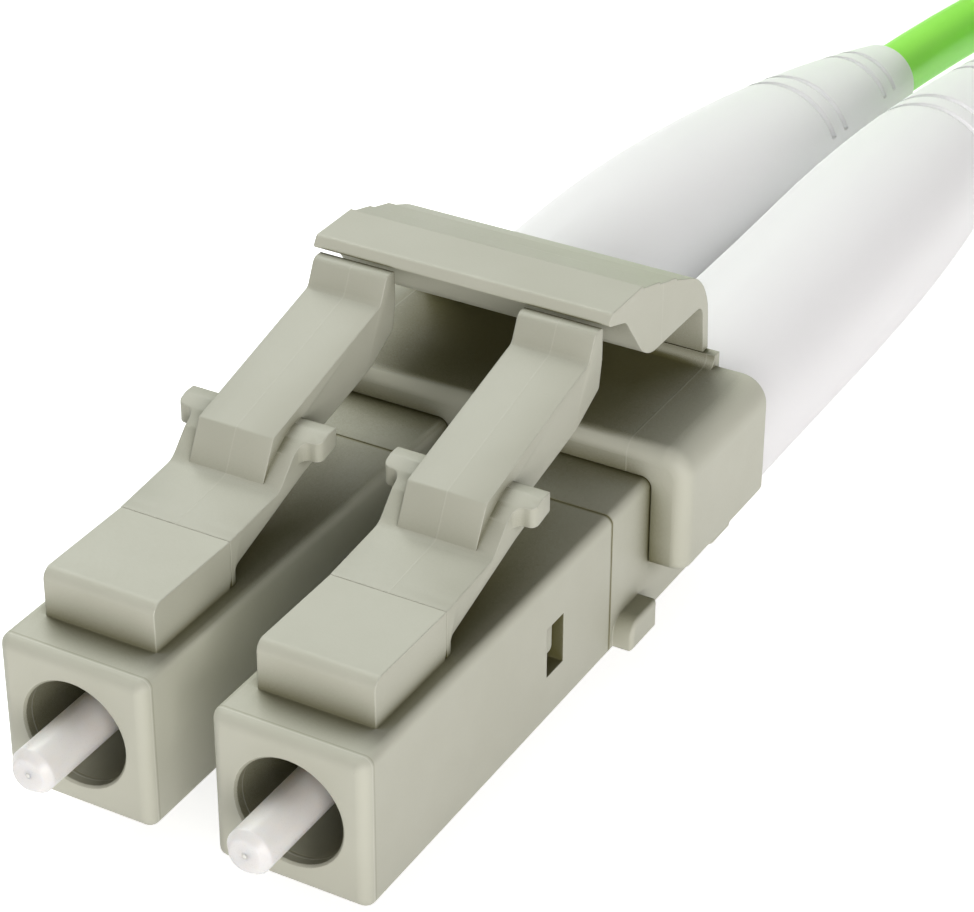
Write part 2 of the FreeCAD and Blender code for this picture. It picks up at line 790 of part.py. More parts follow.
def bent(kind, body, side, name, size):
    """Pipe of one radius round the bend between a boot's front and its tail."""
    radius, face, _ = lean_of(side)
    ring = disc(body, "XZ_Plane", f"{name}_ring", size, offset=f"-{BEND_START}")
    spine = new_sketch(body, "YZ_Plane", f"{name}_spine")
    spine.setExpression("AttachmentOffset", face)
    start, reach = size_of(BEND_START), size_of(radius)
    circle = Part.Circle(FreeCAD.Vector(start, reach, 0), FreeCAD.Vector(0, 0, 1), reach)
    down = -math.pi / 2
    turn = math.radians(size_of(f"sizes.{side}_lean"))
    spine.addGeometry(Part.ArcOfCircle(circle, down, down + turn), False)
    pin_point(spine, 0, 3, BEND_START, radius, "centre")
    pin_point(spine, 0, 1, BEND_START, "0", "start")
    number = spine.addConstraint(
        Sketcher.Constraint("DistanceX", -1, 1, 0, 2, start + reach * math.sin(turn)))
    spine.renameConstraint(number, "stop")
    spine.setExpression(
        "Constraints.stop", f"{BEND_START} + {radius} * sin(sizes.{side}_lean)")
    pipe = body.newObject(f"PartDesign::{kind}", f"{body.Name}_{name}")
    pipe.Profile = ring
    pipe.Spine = (spine, ["Edge1"])
    ring.Visibility = spine.Visibility = False
    return pipe


def boot(side):
    """Soft boot: long taper to the tail, hollow over the crimp, with relief cuts."""
    body = leg_body(side, "boot")
    bore = "sizes.cord_radius + sizes.slack"
    wide = "sizes.cord_radius + sizes.sleeve_wall + sizes.boot_ease"
    turned("Revolution", outline(body, "YZ_Plane", "front", rectangle(
        "sizes.boot_front", "0", BEND_START, "sizes.boot_radius")))
    front, radius = size_of("sizes.boot_front"), size_of("sizes.boot_radius")
    dress("Fillet", body, "front_edge", "sizes.boot_round",
          lambda edge: near(edge, x=0, y=front, z=0))
    bent("AdditivePipe", body, side, "bend", "sizes.boot_radius")

    profile = tail_sketch(body, side, "tail")
    length, tail = size_of(TAIL_LENGTH), size_of("sizes.boot_tail_radius")
    sweep = (length ** 2 + (radius - tail) ** 2) / (2 * (radius - tail))
    circle = Part.Circle(FreeCAD.Vector(0, radius - sweep, 0), FreeCAD.Vector(0, 0, 1), sweep)
    corners = [(TAIL_LENGTH, "sizes.boot_tail_radius"), (TAIL_LENGTH, "0"), ("0", "0"),
               ("0", "sizes.boot_radius")]
    points = [FreeCAD.Vector(size_of(across), size_of(up), 0) for across, up in corners]
    for start, stop in zip(points, points[1:]):
        profile.addGeometry(Part.LineSegment(start, stop), False)
    arc = profile.addGeometry(Part.ArcOfCircle(
        circle, math.pi / 2 - math.asin(length / sweep), math.pi / 2), False)
    for index in range(2):
        profile.addConstraint(Sketcher.Constraint("Coincident", index, 2, index + 1, 1))
    for index, (across, up) in enumerate(corners[:3]):
        pin_point(profile, index, 1, across, up, f"p{index}")
    pin_point(profile, 2, 2, *corners[3], "shoulder")
    profile.addConstraint(Sketcher.Constraint("Coincident", 2, 2, arc, 2))
    profile.addConstraint(Sketcher.Constraint("Coincident", 0, 1, arc, 1))
    profile.addConstraint(Sketcher.Constraint("PointOnObject", arc, 3, -2))
    turned("Revolution", profile)
    dress("Fillet", body, "tail_edge", "sizes.boot_tail_round",
          lambda edge: abs(edge.Length - math.tau * tail) < 0.01
          and edge.CenterOfMass.y > front + length)

    turned("Groove", outline(body, "YZ_Plane", "cavity", [
        ("sizes.boot_front - sizes.past", "0"),
        ("sizes.boot_front - sizes.past", "sizes.collar_outer + sizes.slack"),
        ("sizes.collar_end + sizes.boot_ease", "sizes.collar_outer + sizes.slack"),
        ("sizes.collar_end + sizes.boot_ease", wide),
        ("sizes.post_end + sizes.sleeve_neck + sizes.boot_ease", wide),
        ("sizes.post_end + sizes.sleeve_neck + 3 * sizes.boot_ease", bore),
        (BEND_START, bore),
        (BEND_START, "0"),
    ]))
    bent("SubtractivePipe", body, side, "bend_bore", bore)
    turned("Groove", tail_sketch(body, side, "bore", rectangle(
        "0", "0", f"{TAIL_LENGTH} + sizes.past", bore)))
    relief_cuts(body, side)
    return body


def relief_cuts(body, side):
    """Two groups of part-round cuts that let the boot's tail bend."""
    for number in range(4):
        group, place = divmod(number, 2)
        start = (f"sizes.cut_first - sizes.boot_taper"
                 f" + {group} * sizes.cut_group + {place} * sizes.cut_gap")
        fall = (f"(sizes.boot_radius - sizes.boot_tail_radius)"
                f" * {group + 1} * sizes.cut_fall")
        turned("Groove", tail_sketch(body, side, f"cut_{number}", rectangle(
            start, f"sizes.boot_radius - {fall} - sizes.cut_depth",
            f"{start} + sizes.cut_width", "sizes.boot_radius + sizes.past")),
            angle="sizes.cut_angle")


def jacket(side):
    """End of the cord, from the crimp through the boot to its tail."""
    body = leg_body(side, "jacket")
    start = "(sizes.post_end + sizes.sleeve_step + sizes.slack)"
    section = disc(body, "XZ_Plane", "section", "sizes.cord_radius", offset=f"-{start}")
    pad(section, f"{BEND_START} - {start}")
    bent("AdditivePipe", body, side, "bend", "sizes.cord_radius")
    turned("Revolution", tail_sketch(body, side, "tail", rectangle(
        "0", "0", TAIL_LENGTH, "sizes.cord_radius")))
    return body


# ---------------------------------------------------------------- shared pieces


def duplex_clip():
    """Saddle that holds the two plugs a pitch apart, with the trigger's foot."""
    body = new_body("duplex_clip")
    outer = "sizes.clip_width / 2"
    top = above_plug("sizes.clip_top")
    roof = above_plug("sizes.slack")
    skirt = above_plug("-sizes.clip_skirt")
    wide = "(sizes.plug_side / 2 + sizes.slack)"
    comb = outline(body, "XZ_Plane", "comb", [
        (f"-{outer}", skirt),
        (f"-{outer}", top),
        (outer, top),
        (outer, skirt),
        (f"sizes.pitch / 2 + {wide}", skirt),
        (f"sizes.pitch / 2 + {wide}", roof),
        (f"sizes.pitch / 2 - {wide}", roof),
        (f"sizes.pitch / 2 - {wide}", skirt),
        (f"{wide} - sizes.pitch / 2", skirt),
        (f"{wide} - sizes.pitch / 2", roof),
        (f"-sizes.pitch / 2 - {wide}", roof),
        (f"-sizes.pitch / 2 - {wide}", skirt),
    ], offset="-sizes.clip_front")
    pad(comb, "sizes.clip_rear - sizes.clip_front")
    side, height = size_of(outer), size_of(top)
    front, rear = size_of("sizes.clip_front"), size_of("sizes.clip_rear")
    dress("Fillet", body, "shoulders", "sizes.clip_corner",
          lambda edge: straight_along(edge, ALONG_Y)
          and near(edge, z=height) and abs(abs(edge.CenterOfMass.x) - side) < 0.02)
    dress("Fillet", body, "front_edge", "sizes.clip_front_round",
          lambda edge: near(edge, x=0, y=front, z=height))
    dress("Fillet", body, "rear_edge", "sizes.clip_edge_round",
          lambda edge: near(edge, x=0, y=rear, z=height))

    inner, low = size_of(roof), size_of(skirt)
    dress("Fillet", body, "roof_corners", "sizes.edge_round + sizes.slack",
          lambda edge: straight_along(edge, ALONG_Y) and near(edge, z=inner))
    dress("Fillet", body, "skirt_edges", "sizes.clip_skirt_round",
          lambda edge: straight_along(edge, ALONG_Y)
          and near(edge, z=low) and abs(abs(edge.CenterOfMass.x) - side) < 0.02)

    foot_front = "sizes.leg_rear - sizes.leg_wall"
    slab(outline(body, "YZ_Plane", "foot", rectangle(
        foot_front, above_plug("sizes.clip_top - sizes.lap"),
        "sizes.leg_rear", above_plug("sizes.foot_top"))), "sizes.foot_width")
    start = size_of(foot_front)
    dress("Fillet", body, "foot_fillet", "sizes.foot_fillet",
          lambda edge: straight_along(edge, ALONG_X) and near(edge, y=start, z=height))
    for number, (plug, hand) in enumerate(((-1, -1), (-1, 1), (1, -1), (1, 1))):
        wall = f"{plug} * sizes.pitch / 2 + {hand} * {wide}"
        grip = outline(body, "XZ_Plane", f"grip_{number}", rectangle(
            f"{wall} - {hand} * sizes.clip_grip", "sizes.notch_low + sizes.slack",
            f"{wall} + {hand} * sizes.slack",
            "sizes.notch_low + sizes.notch_height - sizes.slack"),
            offset="-(sizes.notch_front + sizes.slack)")
        pad(grip, "sizes.notch_length - 2 * sizes.slack")
    return body


def trigger():
    """Press lever over both latches: thin leg, heavy bar and a thin front lip."""
    body = new_body("trigger")
    lip_base = above_plug("sizes.upstand_top + sizes.latch_gap")
    lip_top = f"{lip_base} + sizes.lip_wall"
    rear = "sizes.leg_rear - sizes.leg_lean"
    leg_front = (f"{rear} - sizes.leg_wall + sizes.leg_lean"
                 " * (sizes.corner_top - sizes.bump_base) / (sizes.corner_top - sizes.foot_top)")
    foot = above_plug("sizes.foot_top + sizes.seam")
    bump = above_plug("sizes.bump_base")
    flat_end = "sizes.lip_front + sizes.top_steps"
    corners = [
        ("sizes.lip_front", lip_base),
        ("sizes.lip_front + sizes.nose_run", f"{lip_base} - sizes.nose_drop"),
        ("sizes.bump_front", bump),
        (leg_front, bump),
        ("sizes.leg_rear - sizes.leg_wall", foot),
        ("sizes.leg_rear", foot),
        (rear, above_plug("sizes.corner_top")),
    ]
    # The top falls to the rear in three shallow steps, listed from the rear.
    for step in (2, 1, 0):
        place = f"{flat_end} + {step} * sizes.step_pitch"
        level = f"{lip_top} - {step} * sizes.step_fall"
        corners.append((place, f"{level} - sizes.step_notch"))
        corners.append((place, level))
    corners.append(("sizes.lip_front + sizes.lip_rake", lip_top))
    slab(outline(body, "YZ_Plane", "profile", corners), "sizes.trigger_width")

    bends = (
        ("corner", "sizes.corner_round", rear, above_plug("sizes.corner_top")),
        ("bump", "sizes.bump_round", "sizes.bump_front", bump),
        ("hollow", "sizes.hollow_round", *corners[1]),
        ("leg", "sizes.leg_fillet", leg_front, bump),
        ("lip_top", "sizes.lip_round", *corners[-1]),
        ("lip_base", "sizes.lip_round * 0.7", *corners[0]),
    )
    for name, radius, across, up in bends:
        place, level = size_of(across), size_of(up)
        dress("Fillet", body, f"{name}_bend", radius,
              lambda edge: straight_along(edge, ALONG_X) and near(edge, y=place, z=level))
    return body


# ---------------------------------------------------------------- cords


def coil_of_cord():
    """Both cords' unseen length, wound in one ring that lies on the surface."""
    body = new_body("cord_coil", x="sizes.coil_x", y="sizes.coil_y", z="0")
    spacing = "(2 * sizes.cord_radius + sizes.cord_gap)"
    reach = f"sizes.coil_layers / 2 * {spacing}"
    ring_top = f"{spacing} * (2 * sizes.coil_turns + 1) + 2 * sizes.cord_radius"
    inner = f"sizes.coil_middle - {reach}"
    section = outline(body, "XZ_Plane", "section", rectangle(
        inner, "0", f"sizes.coil_middle + {reach}", ring_top))
    turned("Revolution", section, axis="V_Axis")
    dress("Fillet", body, "rounds", "sizes.cord_radius * 0.9",
          lambda edge: near(edge, x=0, y=0))
    return body


def coil_tie():
    """Closed strap round the coil's section, drawn into its top and underside."""
    body = new_body("coil_tie", x="sizes.coil_x", y="sizes.coil_y", z="0")
    spacing = "(2 * sizes.cord_radius + sizes.cord_gap)"
    reach = f"sizes.coil_layers / 2 * {spacing}"
    ring_top = f"{spacing} * (2 * sizes.coil_turns + 1) + 2 * sizes.cord_radius"
    inner = f"sizes.coil_middle - {reach} - sizes.tie_slack"
    outer = f"sizes.coil_middle + {reach} + sizes.tie_slack"
    band = outline(body, "YZ_Plane", "band", rectangle(
        f"{inner} - sizes.tie_wall", "0", f"{outer} + sizes.tie_wall", ring_top))
    slab(band, "sizes.tie_width")
    hollow = outline(body, "YZ_Plane", "hollow", rectangle(
        inner, "sizes.tie_wall", outer, f"{ring_top} - sizes.tie_wall"))
    cut_across(hollow, "sizes.tie_width + sizes.past")
    return body


def tangent_path(points):
    """Straight runs joined by tangent arcs, each as large as its two runs allow."""
    vectors = [FreeCAD.Vector(*point) for point in points]
    edges, radii = [], []
    start = vectors[0]
    for before, corner, after in zip(vectors, vectors[1:], vectors[2:]):
        arriving = (corner - before).normalize()
        leaving = (after - corner).normalize()
        turn = arriving.getAngle(leaving)
        setback = 0.45 * min((corner - before).Length, (after - corner).Length)
        radii.append(setback / math.tan(turn / 2))
        first = corner - arriving * setback
        last = corner + leaving * setback
        inward = (leaving - arriving).normalize()
        sagitta = radii[-1] * (1 / math.cos(turn / 2) - 1)
        edges.append(Part.LineSegment(start, first).toShape())
        edges.append(Part.Arc(first, corner + inward * sagitta, last).toShape())
        start = last
    edges.append(Part.LineSegment(start, vectors[-1]).toShape())
    return Part.Wire(edges), radii


def cord(side, points):
    """Round tube along the free cord's route."""
    radius = size_of("sizes.cord_radius")
    path, radii = tangent_path(points)
    heading = FreeCAD.Vector(*points[1]) - FreeCAD.Vector(*points[0])
    section = Part.Wire([Part.makeCircle(radius, FreeCAD.Vector(*points[0]), heading)])
    feature = doc.addObject("Part::Feature", f"{side}_cord")
    feature.Label = f"{side}_cord"
    feature.Shape = path.makePipeShell([section], True, False)
    expected = math.pi * radius ** 2 * path.Length
    print(f"{side}_cord: {path.Length:.1f} mm, radii",
          [round(bend, 1) for bend in radii],
          f"volume {feature.Shape.Volume:.1f} of {expected:.1f}")
    return feature


# ---------------------------------------------------------------- the whole part


def build():
    """Make every piece, check it, and write one STEP file for each."""
    fill_sheet()
    pieces = []
    makers = (plug_housing, latch, ferrule, ferrule_holder, ferrule_spring, fibre,
              rear_body, yarn, crimp_sleeve, boot, jacket)
    for side in SIDES:
        pieces += [maker(side) for maker in makers]
    pieces += [duplex_clip(), trigger()]
    pieces += [cord("left", LEFT_ROUTE), cord("right", RIGHT_ROUTE)]
    pieces += [coil_of_cord(), coil_tie()]
    doc.recompute()
    for item in doc.Objects:
        if "Invalid" in item.State or "Error" in item.State:
            raise RuntimeError(f"{item.Label} did not recompute: {item.State}")
    os.makedirs("parts", exist_ok=True)
    for piece in pieces:
        shape = piece.Shape
        if shape.isNull() or not shape.isValid() or len(shape.Solids) != 1:
            raise RuntimeError(f"{piece.Label} is not one valid solid")
        shape.exportStep(f"parts/{piece.Label}.step")
        box = shape.BoundBox
        print(f"{piece.Label:24s} x {box.XMin:7.2f} {box.XMax:7.2f}"
              f"  y {box.YMin:7.2f} {box.YMax:7.2f}  z {box.ZMin:6.2f} {box.ZMax:6.2f}")


build()
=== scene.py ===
import logging
import math
from dataclasses import dataclass, field
from enum import Enum, auto
from typing import Sequence

import bmesh
import bpy
from mathutils import Matrix, Vector


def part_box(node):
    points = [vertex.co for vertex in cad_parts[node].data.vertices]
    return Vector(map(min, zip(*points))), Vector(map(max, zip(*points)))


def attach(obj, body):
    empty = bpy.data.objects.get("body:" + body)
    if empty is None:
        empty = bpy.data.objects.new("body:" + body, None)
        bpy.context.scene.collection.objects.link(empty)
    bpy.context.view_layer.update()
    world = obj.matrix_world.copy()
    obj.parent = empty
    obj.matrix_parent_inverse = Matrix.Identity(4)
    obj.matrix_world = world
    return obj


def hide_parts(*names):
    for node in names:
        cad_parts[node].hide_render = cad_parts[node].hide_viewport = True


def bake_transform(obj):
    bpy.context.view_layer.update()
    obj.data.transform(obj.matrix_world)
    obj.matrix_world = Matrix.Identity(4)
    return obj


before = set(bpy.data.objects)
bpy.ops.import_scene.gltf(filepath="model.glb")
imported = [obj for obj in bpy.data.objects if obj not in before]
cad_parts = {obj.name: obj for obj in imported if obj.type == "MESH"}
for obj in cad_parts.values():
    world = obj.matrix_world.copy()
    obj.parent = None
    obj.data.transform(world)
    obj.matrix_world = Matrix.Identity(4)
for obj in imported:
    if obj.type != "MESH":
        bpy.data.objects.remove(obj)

LOG = logging.getLogger("lc_connector")
MM = 0.001
PER_METRE = 1000.0
SHARP_ANGLE = math.radians(28)
SOFT_ANGLE = math.radians(40)
Colour = tuple[float, float, float]
Point = tuple[float, float, float]
Corner = tuple[float, float, float]
Socket = bpy.types.NodeSocket
Number = float | Socket
Paint = Colour | Socket


class Side(Enum):
    """The two plugs, with the sign of their X."""

    LEFT = -1
    RIGHT = 1

    @property
    def word(self) -> str:
        """The side's name as the frame's nodes spell it."""
        return self.name.lower()


class Axis(Enum):
    """The frame's three axes."""

    X = "X"
    Y = "Y"
    Z = "Z"


class Join(Enum):
    """What a boolean makes of two meshes."""

    UNION = "UNION"
    INTERSECT = "INTERSECT"


class Look(Enum):
    """The finishes that a piece can have."""

    PLUG = auto()
    LATCH = auto()
    CLIP = auto()
    TRIGGER = auto()
    BOOT = auto()
    ZIRCONIA = auto()
    BUFFER = auto()
    JACKET = auto()
    PLATED = auto()
    SLEEVE = auto()
    WIRE = auto()
    YARN = auto()
    STRAP = auto()


# ------------------------------------------------------------------ shader helpers


class Shader:
    """A node tree with short ways to add nodes, links and group sockets."""

    def __init__(self, tree: bpy.types.NodeTree) -> None:
        """Keep the tree.

        Args:
            tree: node tree of a material, world or group.
        """
        self.tree = tree

    def node(self, kind: str, **values: object) -> bpy.types.Node:
        """Add a node and set its properties or inputs.

        Args:
            kind: node type without the ShaderNode prefix.
            values: properties by name, or input sockets by name with _ for a space.

        Returns:
            The new node.
        """
        made = self.tree.nodes.new(f"ShaderNode{kind}")
        for key, value in values.items():
            if key in made.bl_rna.properties:
                setattr(made, key, value)
            else:
                made.inputs[key.replace("_", " ")].default_value = value
        return made

    def link(self, source: Socket, target: Socket) -> None:
        """Join an output socket to an input socket."""
        self.tree.links.new(source, target)

    def sums(self, operation: str, first: Number, second: Number | None = None,
             third: Number | None = None) -> Socket:
        """Add a Math node.

        Args:
            operation: name of the Math node's operation.
            first: socket or number.
            second: socket or number, where the operation takes one.
            third: socket or number, where the operation takes one.

        Returns:
            The node's output socket.
        """
        made = self.node("Math", operation=operation)
        for slot, item in zip(made.inputs, (first, second, third)):
            if item is None:
                continue
            if isinstance(item, (int, float)):
                slot.default_value = item
            else:
                self.link(item, slot)
        return made.outputs[0]

    def blend(self, factor: Number, first: Paint, second: Paint, kind: str = "MIX") -> Socket:
        """Add a colour Mix node.

        Args:
            factor: socket or number.
            first: socket or colour.
            second: socket or colour.
            kind: blend type.

        Returns:
            The mixed colour's socket.
        """
        made = self.node("Mix", data_type="RGBA", blend_type=kind)
        slots = (made.inputs[0], made.inputs[6], made.inputs[7])
        for slot, item in zip(slots, (factor, first, second)):
            if isinstance(item, (int, float)):
                slot.default_value = item
            elif isinstance(item, tuple):
                slot.default_value = (*item, 1.0)
            else:
                self.link(item, slot)
        return made.outputs[2]


def blank_material(name: str) -> tuple[bpy.types.Material, Shader, bpy.types.Node]:
    """Start a material.

    Args:
        name: material's name.

    Returns:
        The material, its tree and its Principled BSDF node.
    """
    made = bpy.data.materials.new(name)
    made.use_nodes = True
    return made, Shader(made.node_tree), made.node_tree.nodes["Principled BSDF"]


class EffectGroup:
    """A shader node group with named inputs and outputs, made once."""

    def __init__(self, name: str, numbers: dict[str, float], outputs: Sequence[str]) -> None:
        """Make the group and its sockets.

        Args:
            name: group's name.
            numbers: float inputs with their usual values.
            outputs: names of the float outputs.
        """
        self.group = bpy.data.node_groups.new(name, "ShaderNodeTree")
        for key, value in numbers.items():
            socket = self.group.interface.new_socket(key, in_out="INPUT", socket_type="NodeSocketFloat")
            socket.default_value = value
        for key in outputs:
            self.group.interface.new_socket(key, in_out="OUTPUT", socket_type="NodeSocketFloat")
        self.shader = Shader(self.group)
        self.given = self.group.nodes.new("NodeGroupInput").outputs
        self.result = self.group.nodes.new("NodeGroupOutput").inputs

    def place(self, shader: Shader, **values: float) -> bpy.types.Node:
        """Put the group into a material.

        Args:
            shader: the material's tree.
            values: inputs by name, with _ for a space.

        Returns:
            The group node.
        """
        made = shader.node("Group")
        made.node_tree = self.group
        for key, value in values.items():
            made.inputs[key.replace("_", " ")].default_value = value
        return made


def grain_group() -> EffectGroup:
    """Fine moulded or extruded grain with slow tone drift.

    Returns:
        Group with Grain (height) and Drift (tone) outputs.
    """
    made = EffectGroup("moulded grain", {"Size": 0.1, "Drift Size": 3.0}, ("Grain", "Drift"))
    shader = made.shader
    place = shader.node("TexCoord").outputs["Object"]
    for size, output, detail in (("Size", "Grain", 4.0), ("Drift Size", "Drift", 2.0)):
        noise = shader.node("TexNoise", Detail=detail, Roughness=0.6)
        shader.link(place, noise.inputs["Vector"])
        shader.link(shader.sums("DIVIDE", PER_METRE, made.given[size]), noise.inputs["Scale"])
        shader.link(noise.outputs["Fac"], made.result[output])
    return made


def edge_highlight_group() -> EffectGroup:
    """Mask for painted highlights on sharp edges, inside corners among them, from the turn of a rounded
    normal.

    Returns:
        Group with an Edge Highlight output, 1 on a sharp edge and 0 away from it.
    """
    made = EffectGroup("painted edge highlight", {"Radius": 0.06 * MM, "Gain": 4.0}, ("Edge",))
    shader = made.shader
    bevel = shader.node("Bevel", samples=6)
    shader.link(made.given["Radius"], bevel.inputs["Radius"])
    turn = shader.node("VectorMath", operation="DOT_PRODUCT")
    shader.link(bevel.outputs[0], turn.inputs[0])
    shader.link(shader.node("NewGeometry").outputs["Normal"], turn.inputs[1])
    away = shader.sums("SUBTRACT", 1.0, turn.outputs["Value"])
    gained = shader.node("Math", operation="MULTIPLY", use_clamp=True)
    shader.link(away, gained.inputs[0])
    shader.link(made.given["Gain"], gained.inputs[1])
    shader.link(gained.outputs[0], made.result["Edge"])
    return made


def painted_shade_group() -> EffectGroup:
    """Mask of painted shade in tight gaps and inside corners, and on faces that look up under an overhang,
    where shade falls.

    Reach is how far off the walls of a gap still count, and Reach Above is added to it for
    a face that looks up. The mask fades out from the height Fade High down to Fade Low.

    Returns:
        Group with a Painted Shade output, 1 deep in a gap.
    """
    made = EffectGroup(
        "painted shade",
        {"Reach": 1.6 * MM, "Reach Above": 2.6 * MM, "Open": 0.1, "Closed": 0.55,
         "Fade Low": 0.7 * MM, "Fade High": 2.4 * MM},
        ("Crevice",))
    shader = made.shader
    facing = shader.node("SeparateXYZ")
    shader.link(shader.node("NewGeometry").outputs["Normal"], facing.inputs[0])
    upward = shader.sums("POWER", shader.sums("MAXIMUM", facing.outputs["Z"], 0.0), 4.0)
    reach = shader.sums("MULTIPLY_ADD", upward, made.given["Reach Above"], made.given["Reach"])
    # Ambient occlusion paints shade into gaps, and with the longer reach of faces that look up, the shadow
    # under a latch or the trigger.
    occlusion = shader.node("AmbientOcclusion", samples=8)
    shader.link(reach, occlusion.inputs["Distance"])
    hidden = shader.sums("SUBTRACT", 1.0, occlusion.outputs["AO"])
    gained = shader.node("MapRange")
    shader.link(hidden, gained.inputs["Value"])
    shader.link(made.given["Open"], gained.inputs["From Min"])
    shader.link(made.given["Closed"], gained.inputs["From Max"])
    place = shader.node("SeparateXYZ")
    shader.link(shader.node("TexCoord").outputs["Object"], place.inputs[0])
    raised = shader.node("MapRange", interpolation_type="SMOOTHSTEP")
    shader.link(place.outputs["Z"], raised.inputs["Value"])
    shader.link(made.given["Fade Low"], raised.inputs["From Min"])
    shader.link(made.given["Fade High"], raised.inputs["From Max"])
    shader.link(shader.sums("MULTIPLY", gained.outputs[0], raised.outputs[0]), made.result["Crevice"])
    return made


def seam_group() -> EffectGroup:
    """Fine line round a piece at one place on an axis, such as where two mould halves met.

    With Mirror at 1 the line also runs at the same distance on the axis's other side.

    Returns:
        Group with the outputs Seam X, Seam Y and Seam Z, each 1 on the line across its axis.
    """
    made = EffectGroup(
        "parting line", {"Place": 0.0, "Width": 0.03 * MM, "Mirror": 1.0},
        [f"Seam {axis.value}" for axis in Axis])
    shader = made.shader
    split = shader.node("SeparateXYZ")
    shader.link(shader.node("TexCoord").outputs["Object"], split.inputs[0])
    for axis in Axis:
        plain = split.outputs[axis.value]
        folded = shader.sums("ABSOLUTE", plain)
        both = shader.sums("SUBTRACT", folded, plain)
        chosen = shader.sums("MULTIPLY_ADD", both, made.given["Mirror"], plain)
        off = shader.sums("ABSOLUTE", shader.sums("SUBTRACT", chosen, made.given["Place"]))
        near = shader.node("MapRange", interpolation_type="SMOOTHSTEP")
        shader.link(off, near.inputs["Value"])
        shader.link(made.given["Width"], near.inputs["From Max"])
        near.inputs["To Min"].default_value = 1.0
        near.inputs["To Max"].default_value = 0.0
        shader.link(near.outputs[0], made.result[f"Seam {axis.value}"])
    return made


@dataclass
class Effects:
    """The shared node groups."""

    grain: EffectGroup = field(default_factory=grain_group)
    edge: EffectGroup = field(default_factory=edge_highlight_group)
    crevice: EffectGroup = field(default_factory=painted_shade_group)
    seam: EffectGroup = field(default_factory=seam_group)


# ------------------------------------------------------------------ finishes


@dataclass(frozen=True)
class Parting:
    """One fine line of a moulding: its axis, where it runs, how wide it is and how it looks."""

    axis: Axis
    place: float
    width: float = 0.035 * MM
    rise: float = 1.6
    # Share of the line's colour: a light line takes the painted highlight colour, a dark one the seam
    # colour.
    polish: float = 0.35
    mirrored: bool = True
    dark: bool = False


@dataclass(frozen=True)
class Moulded:
    """Moulded plastic, an extruded jacket or ground ceramic, with or without fine lines."""

    name: str
    colour: Colour
    shade: Colour
    # Colour of the painted highlight on convex edges and on light parting lines.
    edge: Colour
    # Colour multiplied in as painted shade in gaps and under overhangs, and also the colour of dark seam
    # lines.
    painted_shade_and_seam: Colour
    roughness: float = 0.48
    specular: float = 0.28
    glow: float = 0.0
    glow_reach: Colour = (0.0008, 0.0006, 0.0004)
    grain_size: float = 0.09
    grain_height: float = 0.0025 * MM
    corner: float = 0.06 * MM
    drift_share: float = 0.35
    edge_share: float = 0.5
    smoother: float = 0.05
    rougher: float = 0.06
    partings: tuple[Parting, ...] = ()

    def material(self, effects: Effects) -> bpy.types.Material:
        """Build the material.

        Args:
            effects: shared node groups.

        Returns:
            The finished material.
        """
        made, shader, surface = blank_material(self.name)
        surface.inputs["Specular IOR Level"].default_value = self.specular
        surface.inputs["Subsurface Weight"].default_value = self.glow
        surface.inputs["Subsurface Radius"].default_value = self.glow_reach
        surface.inputs["Subsurface Scale"].default_value = 1.0

        grain = effects.grain.place(shader, Size=self.grain_size)
        edge = effects.edge.place(shader, Radius=self.corner)
        crevice = effects.crevice.place(shader)
        drift = shader.node("MapRange", From_Min=0.35, From_Max=0.65, To_Min=0.0, To_Max=self.drift_share)
        shader.link(grain.outputs["Drift"], drift.inputs["Value"])
        toned = shader.blend(drift.outputs[0], self.colour, self.shade)
        # Painted shade: gaps and faces under overhangs are multiplied towards the shade colour.
        with_painted_shade = shader.blend(crevice.outputs["Crevice"], toned, self.painted_shade_and_seam, "MULTIPLY")
        # Painted highlight: convex edges outside the painted shade take the lighter edge colour.
        open_air = shader.sums("SUBTRACT", 1.0, crevice.outputs["Crevice"])
        convex = shader.sums("MULTIPLY", edge.outputs["Edge"], open_air)
        lit = shader.blend(shader.sums("MULTIPLY", convex, self.edge_share), with_painted_shade, self.edge)

        rough = shader.node(
            "MapRange", From_Min=0.3, From_Max=0.7,
            To_Min=self.roughness - self.smoother, To_Max=self.roughness + self.rougher)
        shader.link(grain.outputs["Grain"], rough.inputs["Value"])
        shader.link(rough.outputs[0], surface.inputs["Roughness"])

        height = grain.outputs["Grain"]
        for line in self.partings:
            seam = effects.seam.place(
                shader, Place=line.place, Width=line.width, Mirror=float(line.mirrored))
            mask = seam.outputs[f"Seam {line.axis.value}"]
            height = shader.sums("MULTIPLY_ADD", mask, line.rise, height)
            # A light line is a painted highlight on its ridge; a dark line is a dark seam.
            lit = shader.blend(
                shader.sums("MULTIPLY", mask, line.polish), lit,
                self.painted_shade_and_seam if line.dark else self.edge)
        shader.link(lit, surface.inputs["Base Color"])
        rounded = shader.node("Bevel", samples=6, Radius=self.corner)
        bump = shader.node("Bump", Strength=1.0, Distance=self.grain_height)
        shader.link(height, bump.inputs["Height"])
        shader.link(rounded.outputs[0], bump.inputs["Normal"])
        shader.link(bump.outputs[0], surface.inputs["Normal"])
        return made


